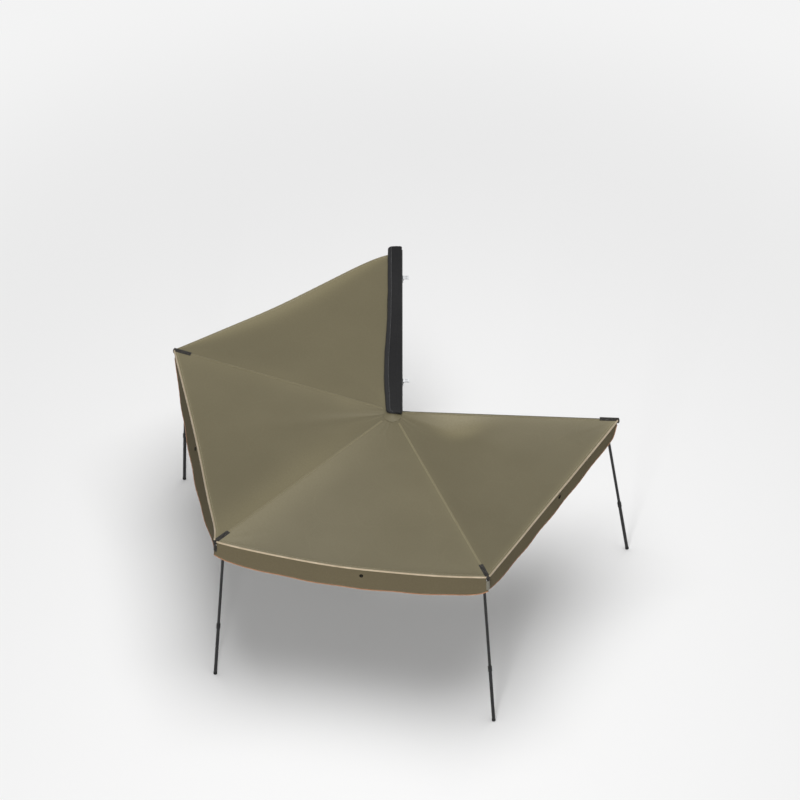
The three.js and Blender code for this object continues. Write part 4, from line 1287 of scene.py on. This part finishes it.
bag_cloth = canvas("bag_cloth", (0.0066, 0.0066, 0.007), (0.0160, 0.0160, 0.0166), 0.62, 0.12, 0.02, 12.0)
bag_highlight_from = 0.48
bag_highlight_over = 0.1
bag_turn_radius = 0.055
bag_shares = (1 - np.cos(np.linspace(0, math.pi, 260))) / 2
share, turn = np.meshgrid(bag_shares, np.linspace(0, 2 * math.pi, 65), indexing="ij")
bag_places = bag_surface(share, turn)
bag_plan = np.stack([bag_places[..., 1], turn * bag_turn_radius], -1)
bag = grid_piece("travel_bag_shell", bag_places[:, ::-1], bag_plan[:, ::-1], bag_cloth)
# Painted highlight: the cloth is painted paler along the bag's left edge, where its rounded side catches the
# light.
set_faded(bag, np.clip((-bag_side(turn)[:, ::-1] - bag_highlight_from) / bag_highlight_over, 0, 1))
weld(bag, hole_sides=70)
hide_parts("travel_bag")
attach(bag, "root")

# The bag's long left edge is bound with a cord in the same cloth, and a zip runs beside it.
binding_radius = 0.0035
binding_lift = 0.003
zip_turns = (1.96, 2.01)
zip_lift = 0.0012
zip_tooth = (0.005, 0.0042, 0.0036)
along_bag = np.linspace(0.004, 0.996, 420)
edge = bag_surface(along_bag, np.full_like(along_bag, math.pi))
edge[:, 2] += binding_lift
binding = tube_piece("bag_binding", edge, binding_radius, cord_sides, bag_cloth)
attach(binding, "root")
raised = np.array((0, 0, zip_lift))
rows = [bag_surface(along_bag, np.full_like(along_bag, turn)) + raised for turn in zip_turns]
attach(sew("bag_zip", rows, zip_tooth, 40, black_thread), "root")


# Rivets: blind rivets hold each hinge plate's cheek and each leg's saddle to its tube. One small domed head
# is set at every place by geometry nodes, square to the face it sits on.
def make_rivet_tree():
    """Geometry nodes: a domed rivet head on every point, facing along the point's own direction."""
    inputs = {"Geometry": "Geometry", "Diameter": 0.008, "Rise": 0.0018, "Metal": "Material"}
    tree, given = node_group("rivet_heads", inputs, "GeometryNodeTree")
    facing = node(tree, "GeometryNodeInputNamedAttribute", {"Name": "facing"}, data_type="FLOAT_VECTOR")
    turned = node(tree, "FunctionNodeAlignRotationToVector", {"Vector": facing}, axis="Z")
    half = maths(tree, "MULTIPLY", given["Diameter"], 0.5)
    size = node(tree, "CombineXYZ", {"X": half, "Y": half, "Z": given["Rise"]})
    dome = node(tree, "GeometryNodeMeshUVSphere", {"Segments": 20, "Rings": 10, "Radius": 1.0})
    return on_points(tree, given["Geometry"], dome, turned, size, given["Metal"])


rivet_heads = make_rivet_tree()
seat_gap = 0.0003
cheek_thick = 0.004
saddle_thick = 0.0032
cheek_face = tube_half_width + seat_gap + cheek_thick
cheek_places = (0.088, 0.118, 0.158)
cheek_heights = (-0.009, 0.009)
saddle_face = tube_half_width + seat_gap + saddle_thick
saddle_places = (-0.022, 0.022)
saddle_height = -0.004
for n in arm_numbers:
    out, left, offset, reach = arms[n]
    heads = [(1, cheek_face, at, z) for at in cheek_places for z in cheek_heights]
    heads += [(-1, tube_half_width, at, z) for at in cheek_places for z in cheek_heights]
    pin = reach - leg_inset
    heads += [(side, saddle_face, pin + at, saddle_height) for side in (-1, 1) for at in saddle_places]
    spots = [
        pivot + out * at + left * (offset + side * face) + Vector((0, 0, height))
        for side, face, at, height in heads
    ]
    points = bpy.data.meshes.new(f"rivet_places_{n}")
    points.from_pydata(spots, [], [])
    turned = points.attributes.new("facing", "FLOAT_VECTOR", "POINT")
    turned.data.foreach_set("vector", np.array([left * head[0] for head in heads]).ravel())
    rivets = grown(f"arm_rivets_{n}", rivet_heads, points, {"Metal": zinc_finish})
    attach(rivets, f"arm_{n}")
